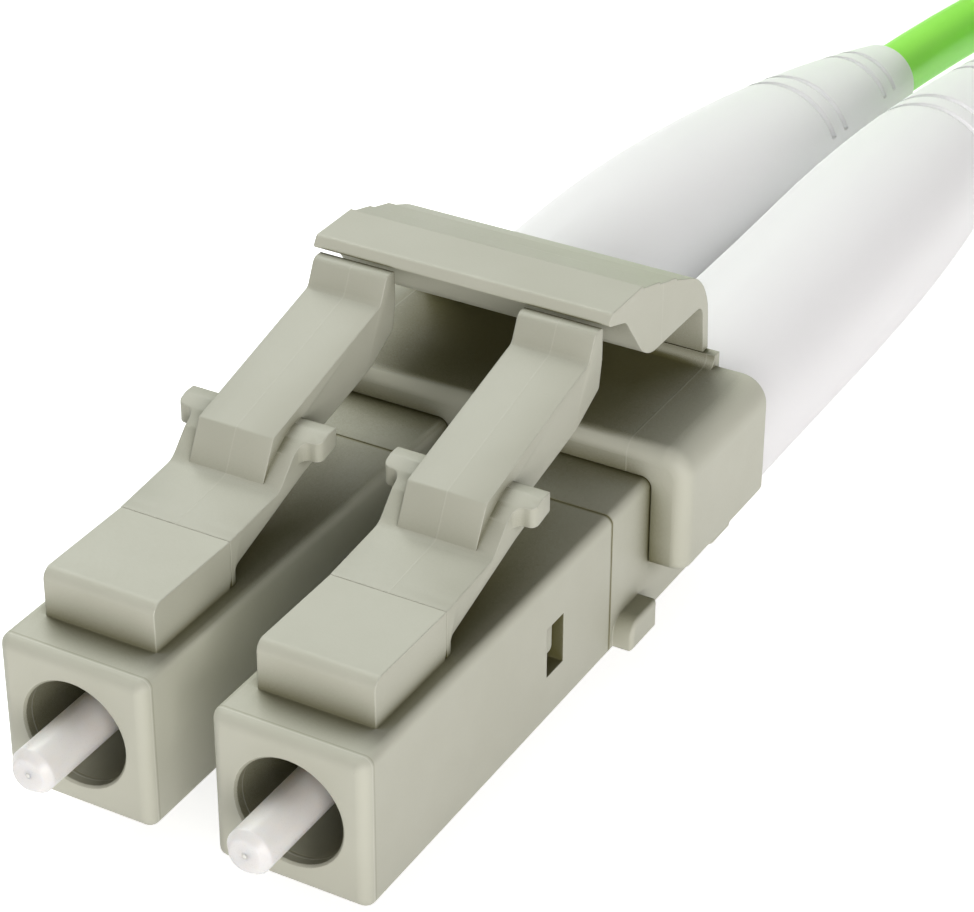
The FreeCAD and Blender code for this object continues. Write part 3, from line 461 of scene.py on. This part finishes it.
@dataclass(frozen=True)
class Metal:
    """Drawn or plated metal with a fine grain and painted highlights on its edges."""

    name: str
    colour: Colour
    roughness: float = 0.28
    smoother: float = 0.08
    rougher: float = 0.12
    edge_highlight: Colour = (0.95, 0.94, 0.92)
    corner: float = 0.04 * MM
    grain_size: float = 0.05
    grain_height: float = 0.002 * MM

    def material(self, effects: Effects) -> bpy.types.Material:
        """Build the material.

        Args:
            effects: shared node groups.

        Returns:
            The finished material.
        """
        made, shader, surface = blank_material(self.name)
        surface.inputs["Metallic"].default_value = 1.0
        grain = effects.grain.place(shader, Size=self.grain_size)
        edge = effects.edge.place(shader, Radius=self.corner)
        # Painted highlight: sharp edges, inside corners too, are blended to a near-white colour.
        edge_highlight = shader.blend(edge.outputs["Edge"], self.colour, self.edge_highlight)
        shader.link(edge_highlight, surface.inputs["Base Color"])
        rough = shader.node(
            "MapRange", To_Min=self.roughness - self.smoother, To_Max=self.roughness + self.rougher)
        shader.link(grain.outputs["Grain"], rough.inputs["Value"])
        shader.link(rough.outputs[0], surface.inputs["Roughness"])
        bump = shader.node("Bump", Strength=0.6, Distance=self.grain_height)
        shader.link(grain.outputs["Grain"], bump.inputs["Height"])
        shader.link(bump.outputs[0], surface.inputs["Normal"])
        return made


@dataclass(frozen=True)
class Woven:
    """Woven strap or twisted yarn, as crossing waves about 0.66 mm long."""

    name: str
    colour: Colour
    thread: Colour
    wave_scale: float = PER_METRE / 2.1
    grain_size: float = 0.15
    grain_share: float = 0.3
    relief: float = 0.05 * MM

    def material(self, effects: Effects) -> bpy.types.Material:
        """Build the material.

        Args:
            effects: shared node groups.

        Returns:
            The finished material.
        """
        made, shader, surface = blank_material(self.name)
        surface.inputs["Roughness"].default_value = 0.85
        surface.inputs["Sheen Weight"].default_value = 0.3
        place = shader.node("TexCoord").outputs["Object"]
        waves = []
        for axis in (Axis.X, Axis.Z):
            wave = shader.node(
                "TexWave", bands_direction=axis.value, Scale=self.wave_scale, Distortion=0.6)
            shader.link(place, wave.inputs["Vector"])
            waves.append(wave.outputs["Fac"])
        weave = shader.sums("MULTIPLY", *waves)
        grain = effects.grain.place(shader, Size=self.grain_size)
        mixed = shader.sums("MULTIPLY_ADD", grain.outputs["Grain"], self.grain_share, weave)
        shader.link(shader.blend(mixed, self.colour, self.thread), surface.inputs["Base Color"])
        bump = shader.node("Bump", Strength=0.8, Distance=self.relief)
        shader.link(mixed, bump.inputs["Height"])
        shader.link(bump.outputs[0], surface.inputs["Normal"])
        return made


BODY_COLOUR: Colour = (0.535, 0.54, 0.45)
BODY_SHADE: Colour = (0.47, 0.472, 0.38)
# Painted highlight colour for the plastic's edges and its light parting lines.
BODY_HIGHLIGHT: Colour = (0.76, 0.76, 0.68)
# The latch is the body's plastic painted darker, as painted shade.
LATCH_PAINTED_DARKER: Colour = (0.485, 0.49, 0.405)
LATCH_PAINTED_DARKER_TONE: Colour = (0.425, 0.428, 0.345)
# Painted shade colours, multiplied in where gaps, corners and overhangs hide the light; the body's one
# also colours the dark seam lines.
BODY_PAINTED_SHADE_AND_SEAM: Colour = (0.20, 0.185, 0.085)
WHITE_PAINTED_SHADE: Colour = (0.75, 0.74, 0.73)

HALF_PITCH = (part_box("right_ferrule")[0][0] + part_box("right_ferrule")[1][0]) / 2
PLUG_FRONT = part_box("right_plug_housing")[0][1]
HOUSING_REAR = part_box("right_plug_housing")[1][1]
TRIGGER_LOW, TRIGGER_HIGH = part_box("trigger")
RIM_GROOVE = PLUG_FRONT + 0.36 * MM
RIM_RIDGE = PLUG_FRONT + 0.29 * MM
CLIP_PARTING = 4.6 * MM
TRIGGER_PARTING = TRIGGER_LOW[1] + 3.1 * MM

FINISHES: dict[Look, Moulded | Metal | Woven] = {
    Look.PLUG: Moulded(
        "plug plastic", BODY_COLOUR, BODY_SHADE, BODY_HIGHLIGHT, BODY_PAINTED_SHADE_AND_SEAM,
        partings=(
            Parting(Axis.Y, RIM_GROOVE, width=0.03 * MM, rise=-2.5, mirrored=False, dark=True),
            Parting(Axis.Y, RIM_RIDGE, width=0.03 * MM, rise=1.5, mirrored=False),
            Parting(Axis.Y, HOUSING_REAR, width=0.1 * MM, rise=-1.0, polish=0.9, mirrored=False,
                    dark=True))),
    Look.LATCH: Moulded(
        "latch plastic painted darker", LATCH_PAINTED_DARKER, LATCH_PAINTED_DARKER_TONE, BODY_HIGHLIGHT, BODY_PAINTED_SHADE_AND_SEAM,
        partings=(Parting(Axis.X, HALF_PITCH, polish=0.12),)),
    Look.CLIP: Moulded(
        "clip plastic", BODY_COLOUR, BODY_SHADE, BODY_HIGHLIGHT, BODY_PAINTED_SHADE_AND_SEAM,
        partings=(Parting(Axis.X, CLIP_PARTING, polish=0.15),)),
    Look.TRIGGER: Moulded(
        "trigger plastic", BODY_COLOUR, BODY_SHADE, BODY_HIGHLIGHT, BODY_PAINTED_SHADE_AND_SEAM,
        partings=(Parting(Axis.Y, TRIGGER_PARTING, polish=0.15, mirrored=False),)),
    Look.BOOT: Moulded(
        "soft white boot", (0.95, 0.95, 0.955), (0.92, 0.92, 0.93), (0.98, 0.98, 0.98), (1.0, 1.0, 1.0),
        roughness=0.5, specular=0.35, glow=0.25, glow_reach=(0.0012, 0.0012, 0.0012),
        grain_size=0.12, corner=0.1 * MM),
    Look.ZIRCONIA: Moulded(
        "white zirconia", (0.80, 0.785, 0.765), (0.76, 0.745, 0.72), (0.88, 0.87, 0.86), (0.92, 0.9, 0.87),
        roughness=0.3, specular=0.5, glow=0.6, glow_reach=(0.0012, 0.001, 0.0008),
        grain_size=0.03, grain_height=0.0004 * MM, corner=0.12 * MM),
    Look.BUFFER: Moulded(
        "white fibre buffer", (0.86, 0.86, 0.82), (0.78, 0.78, 0.72), (0.95, 0.95, 0.9), WHITE_PAINTED_SHADE),
    Look.JACKET: Moulded(
        "lime cord jacket", (0.38, 0.93, 0.13), (0.33, 0.88, 0.11), (0.55, 0.94, 0.35), (0.5, 0.6, 0.4),
        roughness=0.36, specular=0.5, grain_size=0.14, corner=0.05 * MM),
    Look.PLATED: Metal("plated brass", (0.70, 0.67, 0.60)),
    Look.SLEEVE: Metal("crimped sleeve", (0.66, 0.66, 0.66)),
    Look.WIRE: Metal("spring wire", (0.58, 0.58, 0.58), roughness=0.22),
    Look.YARN: Woven("strength yarn", (0.80, 0.62, 0.14), (0.95, 0.82, 0.35)),
    Look.STRAP: Woven("black strap", (0.012, 0.012, 0.014), (0.05, 0.05, 0.055)),
}


class Finisher:
    """Makes each finish once and puts it on pieces."""

    def __init__(self) -> None:
        """Build the shared groups."""
        self.effects = Effects()
        self.made: dict[Look, bpy.types.Material] = {}

    def material(self, look: Look) -> bpy.types.Material:
        """The finish's material, built on first use.

        Args:
            look: which finish.

        Returns:
            The material.
        """
        if look not in self.made:
            self.made[look] = FINISHES[look].material(self.effects)
        return self.made[look]

    def dress(self, piece: bpy.types.Object, look: Look) -> None:
        """Give a piece its only material, and a mesh smooth shading up to its sharp edges.

        Args:
            piece: mesh or curve object.
            look: which finish.
        """
        piece.data.materials.clear()
        piece.data.materials.append(self.material(look))
        if piece.type == "MESH":
            piece.data.shade_smooth()
            sharpen(piece.data, SHARP_ANGLE)


# ------------------------------------------------------------------ mesh helpers


def sharpen(mesh: bpy.types.Mesh, limit: float) -> None:
    """Mark edges sharp where two faces meet at more than a limit.

    Args:
        mesh: mesh to mark; its points stay as they are.
        limit: angle in radians.
    """
    work = bmesh.new()
    work.from_mesh(mesh)
    for edge in work.edges:
        edge.smooth = len(edge.link_faces) == 2 and edge.calc_face_angle(math.pi) < limit
    work.to_mesh(mesh)
    work.free()


def linked(name: str, data: bpy.types.ID) -> bpy.types.Object:
    """Make an object of a mesh, curve, light or camera, and put it into the scene.

    Args:
        name: object's name.
        data: what the object shows.

    Returns:
        The object.
    """
    piece = bpy.data.objects.new(name, data)
    bpy.context.collection.objects.link(piece)
    return piece


def skin(name: str, rings: Sequence[Sequence[Vector]], loop: bool = False) -> bpy.types.Object:
    """Cover a run of rings that have the same number of points.

    Args:
        name: object's name.
        rings: points of each ring, in order.
        loop: join the last ring to the first one, where the ends are capped otherwise.

    Returns:
        The closed mesh object.
    """
    work = bmesh.new()
    rows = [[work.verts.new(spot) for spot in ring] for ring in rings]
    if not loop:
        work.faces.new(rows[0])
        work.faces.new(rows[-1])
    following_rows = rows[1:] + rows[:1] if loop else rows[1:]
    for row, following in zip(rows, following_rows):
        for index in range(len(row)):
            beside = (index + 1) % len(row)
            work.faces.new((row[index], row[beside], following[beside], following[index]))
    bmesh.ops.recalc_face_normals(work, faces=work.faces)
    mesh = bpy.data.meshes.new(name)
    work.to_mesh(mesh)
    work.free()
    return linked(name, mesh)


def settle(piece: bpy.types.Object) -> bpy.types.Object:
    """Keep the mesh that an object's modifiers make, and drop the modifiers.

    Args:
        piece: mesh object with modifiers.

    Returns:
        The same object, with its new mesh.
    """
    graph = bpy.context.evaluated_depsgraph_get()
    graph.update()
    mesh = bpy.data.meshes.new_from_object(piece.evaluated_get(graph))
    piece.modifiers.clear()
    piece.data = mesh
    return piece


def rounded(corners: Sequence[Corner], steps: int = 5) -> list[Vector]:
    """Closed outline whose corners are replaced by arcs.

    Args:
        corners: across, up and radius of each corner, in order.
        steps: pieces in each arc.

    Returns:
        The outline's points.
    """
    points: list[Vector] = []
    for index, (across, up, radius) in enumerate(corners):
        here = Vector((across, up))
        if not radius:
            points.append(here)
            continue
        before = Vector(corners[index - 1][:2]) - here
        after = Vector(corners[(index + 1) % len(corners)][:2]) - here
        half = before.angle(after) / 2
        reach = min(radius / math.tan(half), 0.48 * min(before.length, after.length))
        centre = here + (before.normalized() + after.normalized()).normalized() * reach / math.cos(half)
        start = here + before.normalized() * reach - centre
        stop = here + after.normalized() * reach - centre
        points += [
            centre + start.slerp(stop, step / steps).normalized() * start.length
            for step in range(steps + 1)]
    return points


def prism(name: str, outline: Sequence[Vector], axis: Axis, low: float, high: float) -> bpy.types.Object:
    """Closed prism of an outline.

    Args:
        name: object's name.
        outline: points across the prism, (y, z) along X or (x, y) along Z.
        axis: X or Z, the direction of the prism.
        low: where it starts.
        high: where it ends.

    Returns:
        The prism's mesh object.
    """
    return skin(name, [
        [Vector((level, a, b) if axis is Axis.X else (a, b, level)) for a, b in outline]
        for level in (low, high)])


def combine(first: bpy.types.Object, second: bpy.types.Object, join: Join) -> bpy.types.Object:
    """Unite or intersect two closed meshes for good.

    Args:
        first: mesh that is kept.
        second: mesh that is used up.
        join: what to make of them.

    Returns:
        The first object, with its new mesh.
    """
    step = first.modifiers.new(join.name.lower(), "BOOLEAN")
    step.object = second
    step.operation = join.value
    step.solver = "EXACT"
    settle(first)
    bpy.data.objects.remove(second)
    return first


def soften(piece: bpy.types.Object, width: float) -> bpy.types.Object:
    """Round the sharp edges of a mesh for good.

    Args:
        piece: closed mesh.
        width: width of the rounding, in the mesh's own units.

    Returns:
        The same object, with its new mesh.
    """
    step = piece.modifiers.new("soft edges", "BEVEL")
    step.width = width
    step.segments = 2
    step.limit_method = "ANGLE"
    step.angle_limit = SOFT_ANGLE
    return settle(piece)


# ------------------------------------------------------------------ sub-assemblies


@dataclass
class SprungLatch:
    """One latch in millimetres from the plug's front face, its middle and its top.

    The plate grows out of the housing's root, two ears stand out beside the step, and the
    raised spine runs back to the upstand. On the real latch the plate bends at its crease when
    it is pressed.
    """

    side: Side
    crease: float = 4.75
    overlap: float = 0.07
    half_plate: float = 1.655
    half_ears: float = 2.2
    half_spine: float = 1.14
    soft_edge: float = 0.05
    bend: float = 0.8
    bend_steps: int = 8
    steps_over_web: int = 5
    top_start: float = 1.366
    top_slope: float = 0.089
    below_start: float = 0.525
    below_slope: float = 0.3164
    web_base: float = 0.5
    web_foot: float = 0.02
    web_rear: float = 4.86
    web_corner: float = 0.3
    step_base: Corner = (6.97, 1.57, 0.6)
    below_ears: tuple[Corner, ...] = ((8.1, 1.55, 0.0), (8.95, 1.75, 0.1))
    ear_top: tuple[Corner, ...] = (
        (8.95, 2.67, 0.14), (8.5, 2.67, 0.3), (8.1, 2.52, 0.3), (7.64, 2.25, 0.4))
    ear_below: tuple[Corner, ...] = ((7.3, 1.82, 0.0), (8.1, 1.98, 0.15), (8.95, 2.15, 0.14))
    ear_root: Corner = (7.3, 1.9, 0.0)
    ear_front: float = 8.1
    ear_rear: float = 8.96
    ear_start: float = 7.5
    ear_rear_radius: float = 0.14
    ear_front_radius: float = 0.2
    ear_fillet: float = 0.42
    ear_heights: tuple[float, float] = (1.0, 3.5)
    spine: tuple[Corner, ...] = (
        (6.83, 1.29, 0.0), (7.54, 2.71, 0.1), (12.85, 4.03, 0.25), (13.2, 4.77, 0.22),
        (13.6, 4.77, 0.08), (13.6, 3.83, 0.3), (13.45, 3.03, 0.12), (12.2, 2.4, 1.2),
        (7.4, 1.35, 0.0))

    def plate(self) -> bpy.types.Object:
        """The plate with its web, up to the rear of the ears.

        Returns:
            The plate's prism.
        """
        start = self.crease - self.overlap
        stations = [
            start + self.bend * step / self.bend_steps for step in range(self.bend_steps + 1)]
        top = [(y, self.top_start + (y - start) * self.top_slope, 0.0) for y in reversed(stations)]
        below = [
            (y, self.below_start + (y - self.web_rear) * self.below_slope, 0.0)
            for y in stations[self.steps_over_web:]]
        corners = [
            (start, self.web_foot, 0.0), (self.web_rear, self.web_foot, 0.0),
            (self.web_rear, self.below_start, self.web_corner), *below,
            *self.below_ears, *self.ear_top, self.step_base, *top]
        return prism(f"{self.side.word}_latch_skin", rounded(corners), Axis.X,
                     -self.half_plate, self.half_plate)

    def ears(self) -> bpy.types.Object:
        """Both ears, with concave corners where they leave the plate.

        Returns:
            The ears' mesh object.
        """
        profile = [*self.ear_below, *self.ear_top, self.ear_root]
        beyond = self.half_ears + 1
        solid = prism("ears", rounded(profile), Axis.X, -beyond, beyond)
        half = [
            (self.half_ears, self.ear_rear, self.ear_rear_radius),
            (self.half_ears, self.ear_front, self.ear_front_radius),
            (self.half_plate, self.ear_front, self.ear_fillet),
            (self.half_plate, self.ear_start, 0.0)]
        plan = [(-across, along, radius) for across, along, radius in half] + half[::-1]
        cutter = prism("ears_plan", rounded(plan), Axis.Z, *self.ear_heights)
        return combine(solid, cutter, Join.INTERSECT)

    def build(self, finisher: Finisher) -> bpy.types.Object:
        """Make the latch and set it on its plug.

        Args:
            finisher: maker of materials.

        Returns:
            The latch.
        """
        word = self.side.word
        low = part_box(f"{word}_plug_housing")[0]
        latch_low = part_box(f"{word}_latch")[0]
        piece = combine(self.plate(), self.ears(), Join.UNION)
        spine = prism("spine", rounded(self.spine), Axis.X, -self.half_spine, self.half_spine)
        piece = soften(combine(piece, spine, Join.UNION), self.soft_edge)
        place = Vector((self.side.value * HALF_PITCH, low[1], latch_low[2] - self.web_base * MM))
        piece.data.transform(Matrix.Translation(place) @ Matrix.Scale(MM, 4))
        finisher.dress(piece, Look.LATCH)
        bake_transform(piece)
        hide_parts(f"{word}_latch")
        return piece


@dataclass
class ReturnSpring:
    """The spring behind one ferrule; the real one shortens when the ferrule is pushed in."""

    side: Side
    turns: float = 6.0
    wire: float = 0.12 * MM
    steps: int = 24
    points: int = 8

    def build(self, finisher: Finisher) -> bpy.types.Object:
        """Wind the wire.

        Args:
            finisher: maker of materials.

        Returns:
            The spring.
        """
        word = self.side.word
        low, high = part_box(f"{word}_ferrule_spring")
        middle = (Vector(low) + Vector(high)) / 2
        radius = (high[0] - low[0]) / 2 - self.wire
        front, rear = low[1] + self.wire, high[1] - self.wire
        count = round(self.turns * self.steps)
        around = [2 * math.pi * point / self.points for point in range(self.points)]
        rings = []
        for number in range(count + 1):
            share = number / count
            angle = 2 * math.pi * number / self.steps
            out = Vector((math.cos(angle), 0, math.sin(angle)))
            spot = Vector((middle.x, front + (rear - front) * share, middle.z)) + out * radius
            rings.append([
                spot + out * (self.wire * math.cos(turn)) + Vector((0, self.wire * math.sin(turn), 0))
                for turn in around])
        piece = skin(f"{word}_spring_coil", rings)
        finisher.dress(piece, Look.WIRE)
        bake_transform(piece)
        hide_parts(f"{word}_ferrule_spring")
        return piece


@dataclass
class PlugPair:
    """Both plugs: their nodes' finishes, with a latch and a spring for each."""

    finishes: dict[str, Look] = field(default_factory=lambda: {
        "plug_housing": Look.PLUG, "rear_body": Look.PLUG, "ferrule": Look.ZIRCONIA,
        "ferrule_holder": Look.PLATED, "fibre": Look.BUFFER, "strength_yarn": Look.YARN,
        "crimp_sleeve": Look.SLEEVE, "boot": Look.BOOT, "jacket": Look.JACKET,
    })

    def build(self, finisher: Finisher) -> list[bpy.types.Object]:
        """Dress the nodes of both plugs and make their latches and springs.

        Args:
            finisher: maker of materials.

        Returns:
            The dressed nodes and the new pieces.
        """
        dressed = []
        for side in Side:
            for node, look in self.finishes.items():
                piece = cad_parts[f"{side.word}_{node}"]
                finisher.dress(piece, look)
                dressed.append(piece)
            dressed.append(SprungLatch(side).build(finisher))
            dressed.append(ReturnSpring(side).build(finisher))
        return dressed


@dataclass
class Saddle:
    """The duplex clip and its press trigger."""

    finishes: dict[str, Look] = field(default_factory=lambda: {
        "duplex_clip": Look.CLIP, "trigger": Look.TRIGGER,
    })

    def build(self, finisher: Finisher) -> list[bpy.types.Object]:
        """Dress the clip and the trigger.

        Args:
            finisher: maker of materials.

        Returns:
            The dressed nodes.
        """
        for node, look in self.finishes.items():
            finisher.dress(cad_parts[node], look)
        return [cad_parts[node] for node in self.finishes]


@dataclass
class CoilStrap:
    """Flat strap drawn round the coil's section."""

    wall: float = 0.45 * MM
    corner: float = 1.6 * MM
    corner_steps: int = 6
    width_share: float = 0.98
    soft_edge: float = 0.1 * MM

    def path(self) -> list[tuple[float, float]]:
        """The strap's middle line, once round with arcs at the corners.

        Returns:
            Points as (y, z).
        """
        low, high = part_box("coil_tie")
        half_wall, corner = self.wall / 2, self.corner
        y0, y1 = low[1] + half_wall + corner, high[1] - half_wall - corner
        z0, z1 = low[2] + half_wall + corner, high[2] - half_wall - corner
        points: list[tuple[float, float]] = []
        for y, z, first in ((y1, z1, 0), (y0, z1, 90), (y0, z0, 180), (y1, z0, 270)):
            for step in range(self.corner_steps + 1):
                angle = math.radians(first + step * 90 / self.corner_steps)
                points.append((y + corner * math.cos(angle), z + corner * math.sin(angle)))
        return points

    def build(self, finisher: Finisher) -> bpy.types.Object:
        """Make the strap and let it ride with the coil.

        Args:
            finisher: maker of materials.

        Returns:
            The strap.
        """
        low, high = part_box("coil_tie")
        middle = (low[0] + high[0]) / 2
        half = (high[0] - low[0]) / 2 * self.width_share
        path = self.path()
        rings = []
        for index, (y, z) in enumerate(path):
            before, after = path[index - 1], path[(index + 1) % len(path)]
            along = Vector((0, after[0] - before[0], after[1] - before[1])).normalized()
            out = Vector((0, along.z, -along.y))
            rings.append([
                Vector((middle + across * half, y, z)) + out * (away * self.wall / 2)
                for across, away in ((-1, -1), (-1, 1), (1, 1), (1, -1))])
        strap = skin("coil_strap", rings, loop=True)
        rounding = strap.modifiers.new("soft edges", "BEVEL")
        rounding.width = self.soft_edge
        rounding.segments = 2
        rounding.limit_method = "ANGLE"
        finisher.dress(strap, Look.STRAP)
        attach(strap, "connector")
        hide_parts("coil_tie")
        return strap


@dataclass
class Leads:
    """The two cords, from the boots' tails through one neat coil, with its strap."""

    radius: float = 1.0
    gap: float = 0.1
    layers: int = 4
    turns: float = 3.125
    outer_turn: float = 15.15
    points_per_turn: int = 16
    step_arc: float = 50.0
    tail_run: float = 11.0
    tail_inward: float = 0.22
    routes: dict[Side, list[Point]] = field(default_factory=lambda: {
        Side.LEFT: [
            (-2.07, 24.93, 2.03), (-1.57, 33.5, 1.56), (0.3, 40.3, 1.06),
            (3.0, 46.3, 1.0), (4.75, 51.8, 1.0), (5.05, 57.5, 1.0),
        ],
        Side.RIGHT: [
            (2.72, 24.95, 2.985), (2.62, 31.5, 2.88), (2.9, 38.5, 2.6),
            (3.9, 45.5, 2.72), (4.85, 51.5, 3.1), (5.05, 57.5, 3.1),
        ],
    })

    @property
    def spacing(self) -> float:
        """Distance between the middles of neighbouring turns."""
        return 2 * self.radius + self.gap

    def ring_centre(self, entry: Point) -> tuple[float, float]:
        """Centre of the ring whose outer turn starts at the entry point."""
        return entry[0] - self.outer_turn, entry[1]

    def coil_points(self, entry: Point) -> list[Point]:
        """Points of one cord's turns, layer by layer from the outside in.

        Args:
            entry: where the cord meets the outer turn, heading along +Y.

        Returns:
            Points in millimetres, the entry left out.
        """
        middle_x, middle_y = self.ring_centre(entry)
        pitch = 2 * self.spacing
        low, high = entry[2], entry[2] + pitch * self.turns
        points: list[Point] = []
        count = round(self.layers * self.turns * self.points_per_turn)
        for number in range(1, count + 1):
            turned = number / self.points_per_turn
            layer = min(int(turned / self.turns - 1e-9), self.layers - 1)
            into = turned - layer * self.turns
            rising = layer % 2 == 0
            height = low + pitch * into if rising else high - pitch * into
            shift = 0.0
            if layer:
                shift = max(0.0, 1 - into * 360 / self.step_arc)
            radius = self.outer_turn - self.spacing * (layer - shift)
            angle = 2 * math.pi * turned
            points.append((
                middle_x + radius * math.cos(angle), middle_y + radius * math.sin(angle),
                min(max(height, low), high)))
        last = points[-1]
        angle = 2 * math.pi * count / self.points_per_turn
        for share in (0.5, 1.0):
            along = self.tail_run * share
            inward = along * self.tail_inward * share
            points.append((
                last[0] - along * math.sin(angle) - inward * math.cos(angle),
                last[1] + along * math.cos(angle) - inward * math.sin(angle),
                last[2]))
        return points

    def cord(self, side: Side) -> bpy.types.Object:
        """One cord as a smooth spline with a round section.

        Args:
            side: which plug the cord leaves.

        Returns:
            The curve object.
        """
        route = self.routes[side]
        points = route + self.coil_points(route[-1])
        curve = bpy.data.curves.new(f"{side.word}_lead", "CURVE")
        curve.dimensions = "3D"
        spline = curve.splines.new("NURBS")
        spline.points.add(len(points) - 1)
        for slot, place in zip(spline.points, points):
            slot.co = (*(value * MM for value in place), 1.0)
        spline.order_u = 3
        spline.use_endpoint_u = True
        spline.resolution_u = 6
        curve.bevel_depth = self.radius * MM
        curve.bevel_resolution = 5
        curve.use_fill_caps = True
        return linked(f"{side.word}_lead", curve)

    def build(self, finisher: Finisher) -> list[bpy.types.Object]:
        """Args:
            finisher: maker of materials.

        Returns:
            The new pieces.
        """
        strap = CoilStrap().build(finisher)
        pieces = [strap]
        for side in Side:
            piece = self.cord(side)
            finisher.dress(piece, Look.JACKET)
            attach(piece, "connector")
            nodes = [f"{side.word}_cord"] + (["cord_coil"] if side is Side.LEFT else [])
            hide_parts(*nodes)
            pieces.append(piece)
        return pieces


# ------------------------------------------------------------------ camera and light


@dataclass(frozen=True)
class Lamp:
    """One square soft light that looks at the plugs, in metres and watts."""

    name: str
    place: Point
    size: float
    power: float
    tint: Colour

    def build(self) -> None:
        """Add the light."""
        light = bpy.data.lights.new(self.name, "AREA")
        light.shape = "SQUARE"
        light.size = self.size
        light.energy = self.power
        light.color = self.tint
        piece = linked(self.name, light)
        piece.location = self.place
        piece.rotation_euler = Vector(self.place).to_track_quat("Z", "Y").to_euler()


@dataclass
class Studio:
    """Pale floor, soft lights, white surroundings and the camera."""

    azimuth: float = 29.32
    elevation: float = 31.32
    roll: float = 0.26
    distance: float = 80.0
    lens: float = 113.77
    aim_from_trigger: Point = (2.19, -2.32, -3.65)
    lamps: tuple[Lamp, ...] = (
        Lamp("key light", (-0.34, 0.24, 0.46), 0.4, 3.4, (0.985, 1.0, 0.97)),
        Lamp("side light", (0.40, -0.46, 0.06), 0.5, 4.8, (1.0, 0.97, 0.965)))
    sky: float = 0.18
    floor_reach: float = 3.0
    floor_drop: float = 0.02 * MM
    floor_near: float = 0.12
    floor_far: float = 0.5
    near_glow: float = 0.7
    far_glow: float = 1.0

    def camera(self) -> bpy.types.Object:
        """Place the camera and make it the scene's own.

        Returns:
            The camera object.
        """
        lens = bpy.data.cameras.new("camera")
        lens.lens = self.lens
        lens.sensor_fit = "HORIZONTAL"
        lens.clip_start = 0.002
        lens.clip_end = 10.0
        piece = linked("camera", lens)
        azimuth, elevation = math.radians(self.azimuth), math.radians(self.elevation)
        back = Vector((
            math.sin(azimuth) * math.cos(elevation), -math.cos(azimuth) * math.cos(elevation),
            math.sin(elevation)))
        roll = Matrix.Rotation(math.radians(self.roll), 3, "Z")
        turn = back.to_track_quat("Z", "Y").to_matrix() @ roll
        target = Vector((0.0, TRIGGER_LOW[1], TRIGGER_HIGH[2])) + Vector(self.aim_from_trigger) * MM
        piece.matrix_world = Matrix.LocRotScale(target + back * self.distance * MM, turn, None)
        bpy.context.scene.camera = piece
        return piece

    def floor(self) -> bpy.types.Object:
        """Pale floor that the connector lies on, and that grows brighter further off.

        Returns:
            The floor object.
        """
        mesh = bpy.data.meshes.new("floor")
        reach = self.floor_reach
        mesh.from_pydata(
            [(-reach, -reach, 0), (reach, -reach, 0), (reach, reach, 0), (-reach, reach, 0)],
            [], [(0, 1, 2, 3)])
        piece = linked("floor", mesh)
        piece.location.z = -self.floor_drop
        made, shader, surface = blank_material("pale floor")
        surface.inputs["Roughness"].default_value = 0.9
        surface.inputs["Specular IOR Level"].default_value = 0.1
        surface.inputs["Emission Color"].default_value = (1, 1, 1, 1)
        path = shader.node("LightPath")
        seen = shader.sums("MAXIMUM", path.outputs["Is Camera Ray"], path.outputs["Is Glossy Ray"])
        pale = shader.blend(seen, (0.93, 0.91, 0.92), (0.9, 0.9, 0.9))
        shader.link(pale, surface.inputs["Base Color"])
        away = shader.node("VectorMath", operation="LENGTH")
        shader.link(shader.node("TexCoord").outputs["Object"], away.inputs[0])
        fade = shader.node("MapRange", From_Min=self.floor_near, From_Max=self.floor_far,
                           To_Min=self.near_glow, To_Max=self.far_glow)
        shader.link(away.outputs["Value"], fade.inputs["Value"])
        shader.link(shader.sums("MULTIPLY", seen, fade.outputs[0]), surface.inputs["Emission Strength"])
        mesh.materials.append(made)
        return piece

    def world(self) -> None:
        """White surroundings: full white to the camera, softer as a light."""
        world = bpy.data.worlds.new("studio")
        bpy.context.scene.world = world
        world.use_nodes = True
        shader = Shader(world.node_tree)
        backdrop = world.node_tree.nodes["Background"]
        backdrop.inputs["Color"].default_value = (1, 1, 1, 1)
        path = shader.node("LightPath")
        seen = shader.sums("MAXIMUM", path.outputs["Is Camera Ray"], path.outputs["Is Transmission Ray"])
        strength = shader.node("MapRange", To_Min=self.sky, To_Max=1.0)
        shader.link(seen, strength.inputs["Value"])
        shader.link(strength.outputs[0], backdrop.inputs["Strength"])

    def build(self) -> None:
        """Set up the floor, lights, surroundings and camera."""
        self.floor()
        self.world()
        for lamp in self.lamps:
            lamp.build()
        self.camera()
        bpy.context.scene.view_settings.view_transform = "Standard"


def report(label: str, pieces: Sequence[bpy.types.Object]) -> None:
    """Log the pieces that a sub-assembly made or dressed."""
    for piece in pieces:
        LOG.info("%s: %s", label, piece.name)


def main() -> None:
    """Build every sub-assembly in order."""
    logging.basicConfig(level=logging.INFO, format="%(message)s")
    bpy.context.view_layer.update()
    Studio().build()
    finisher = Finisher()
    report("leads", Leads().build(finisher))
    report("plugs", PlugPair().build(finisher))
    report("saddle", Saddle().build(finisher))


if __name__ == "__main__":
    main()
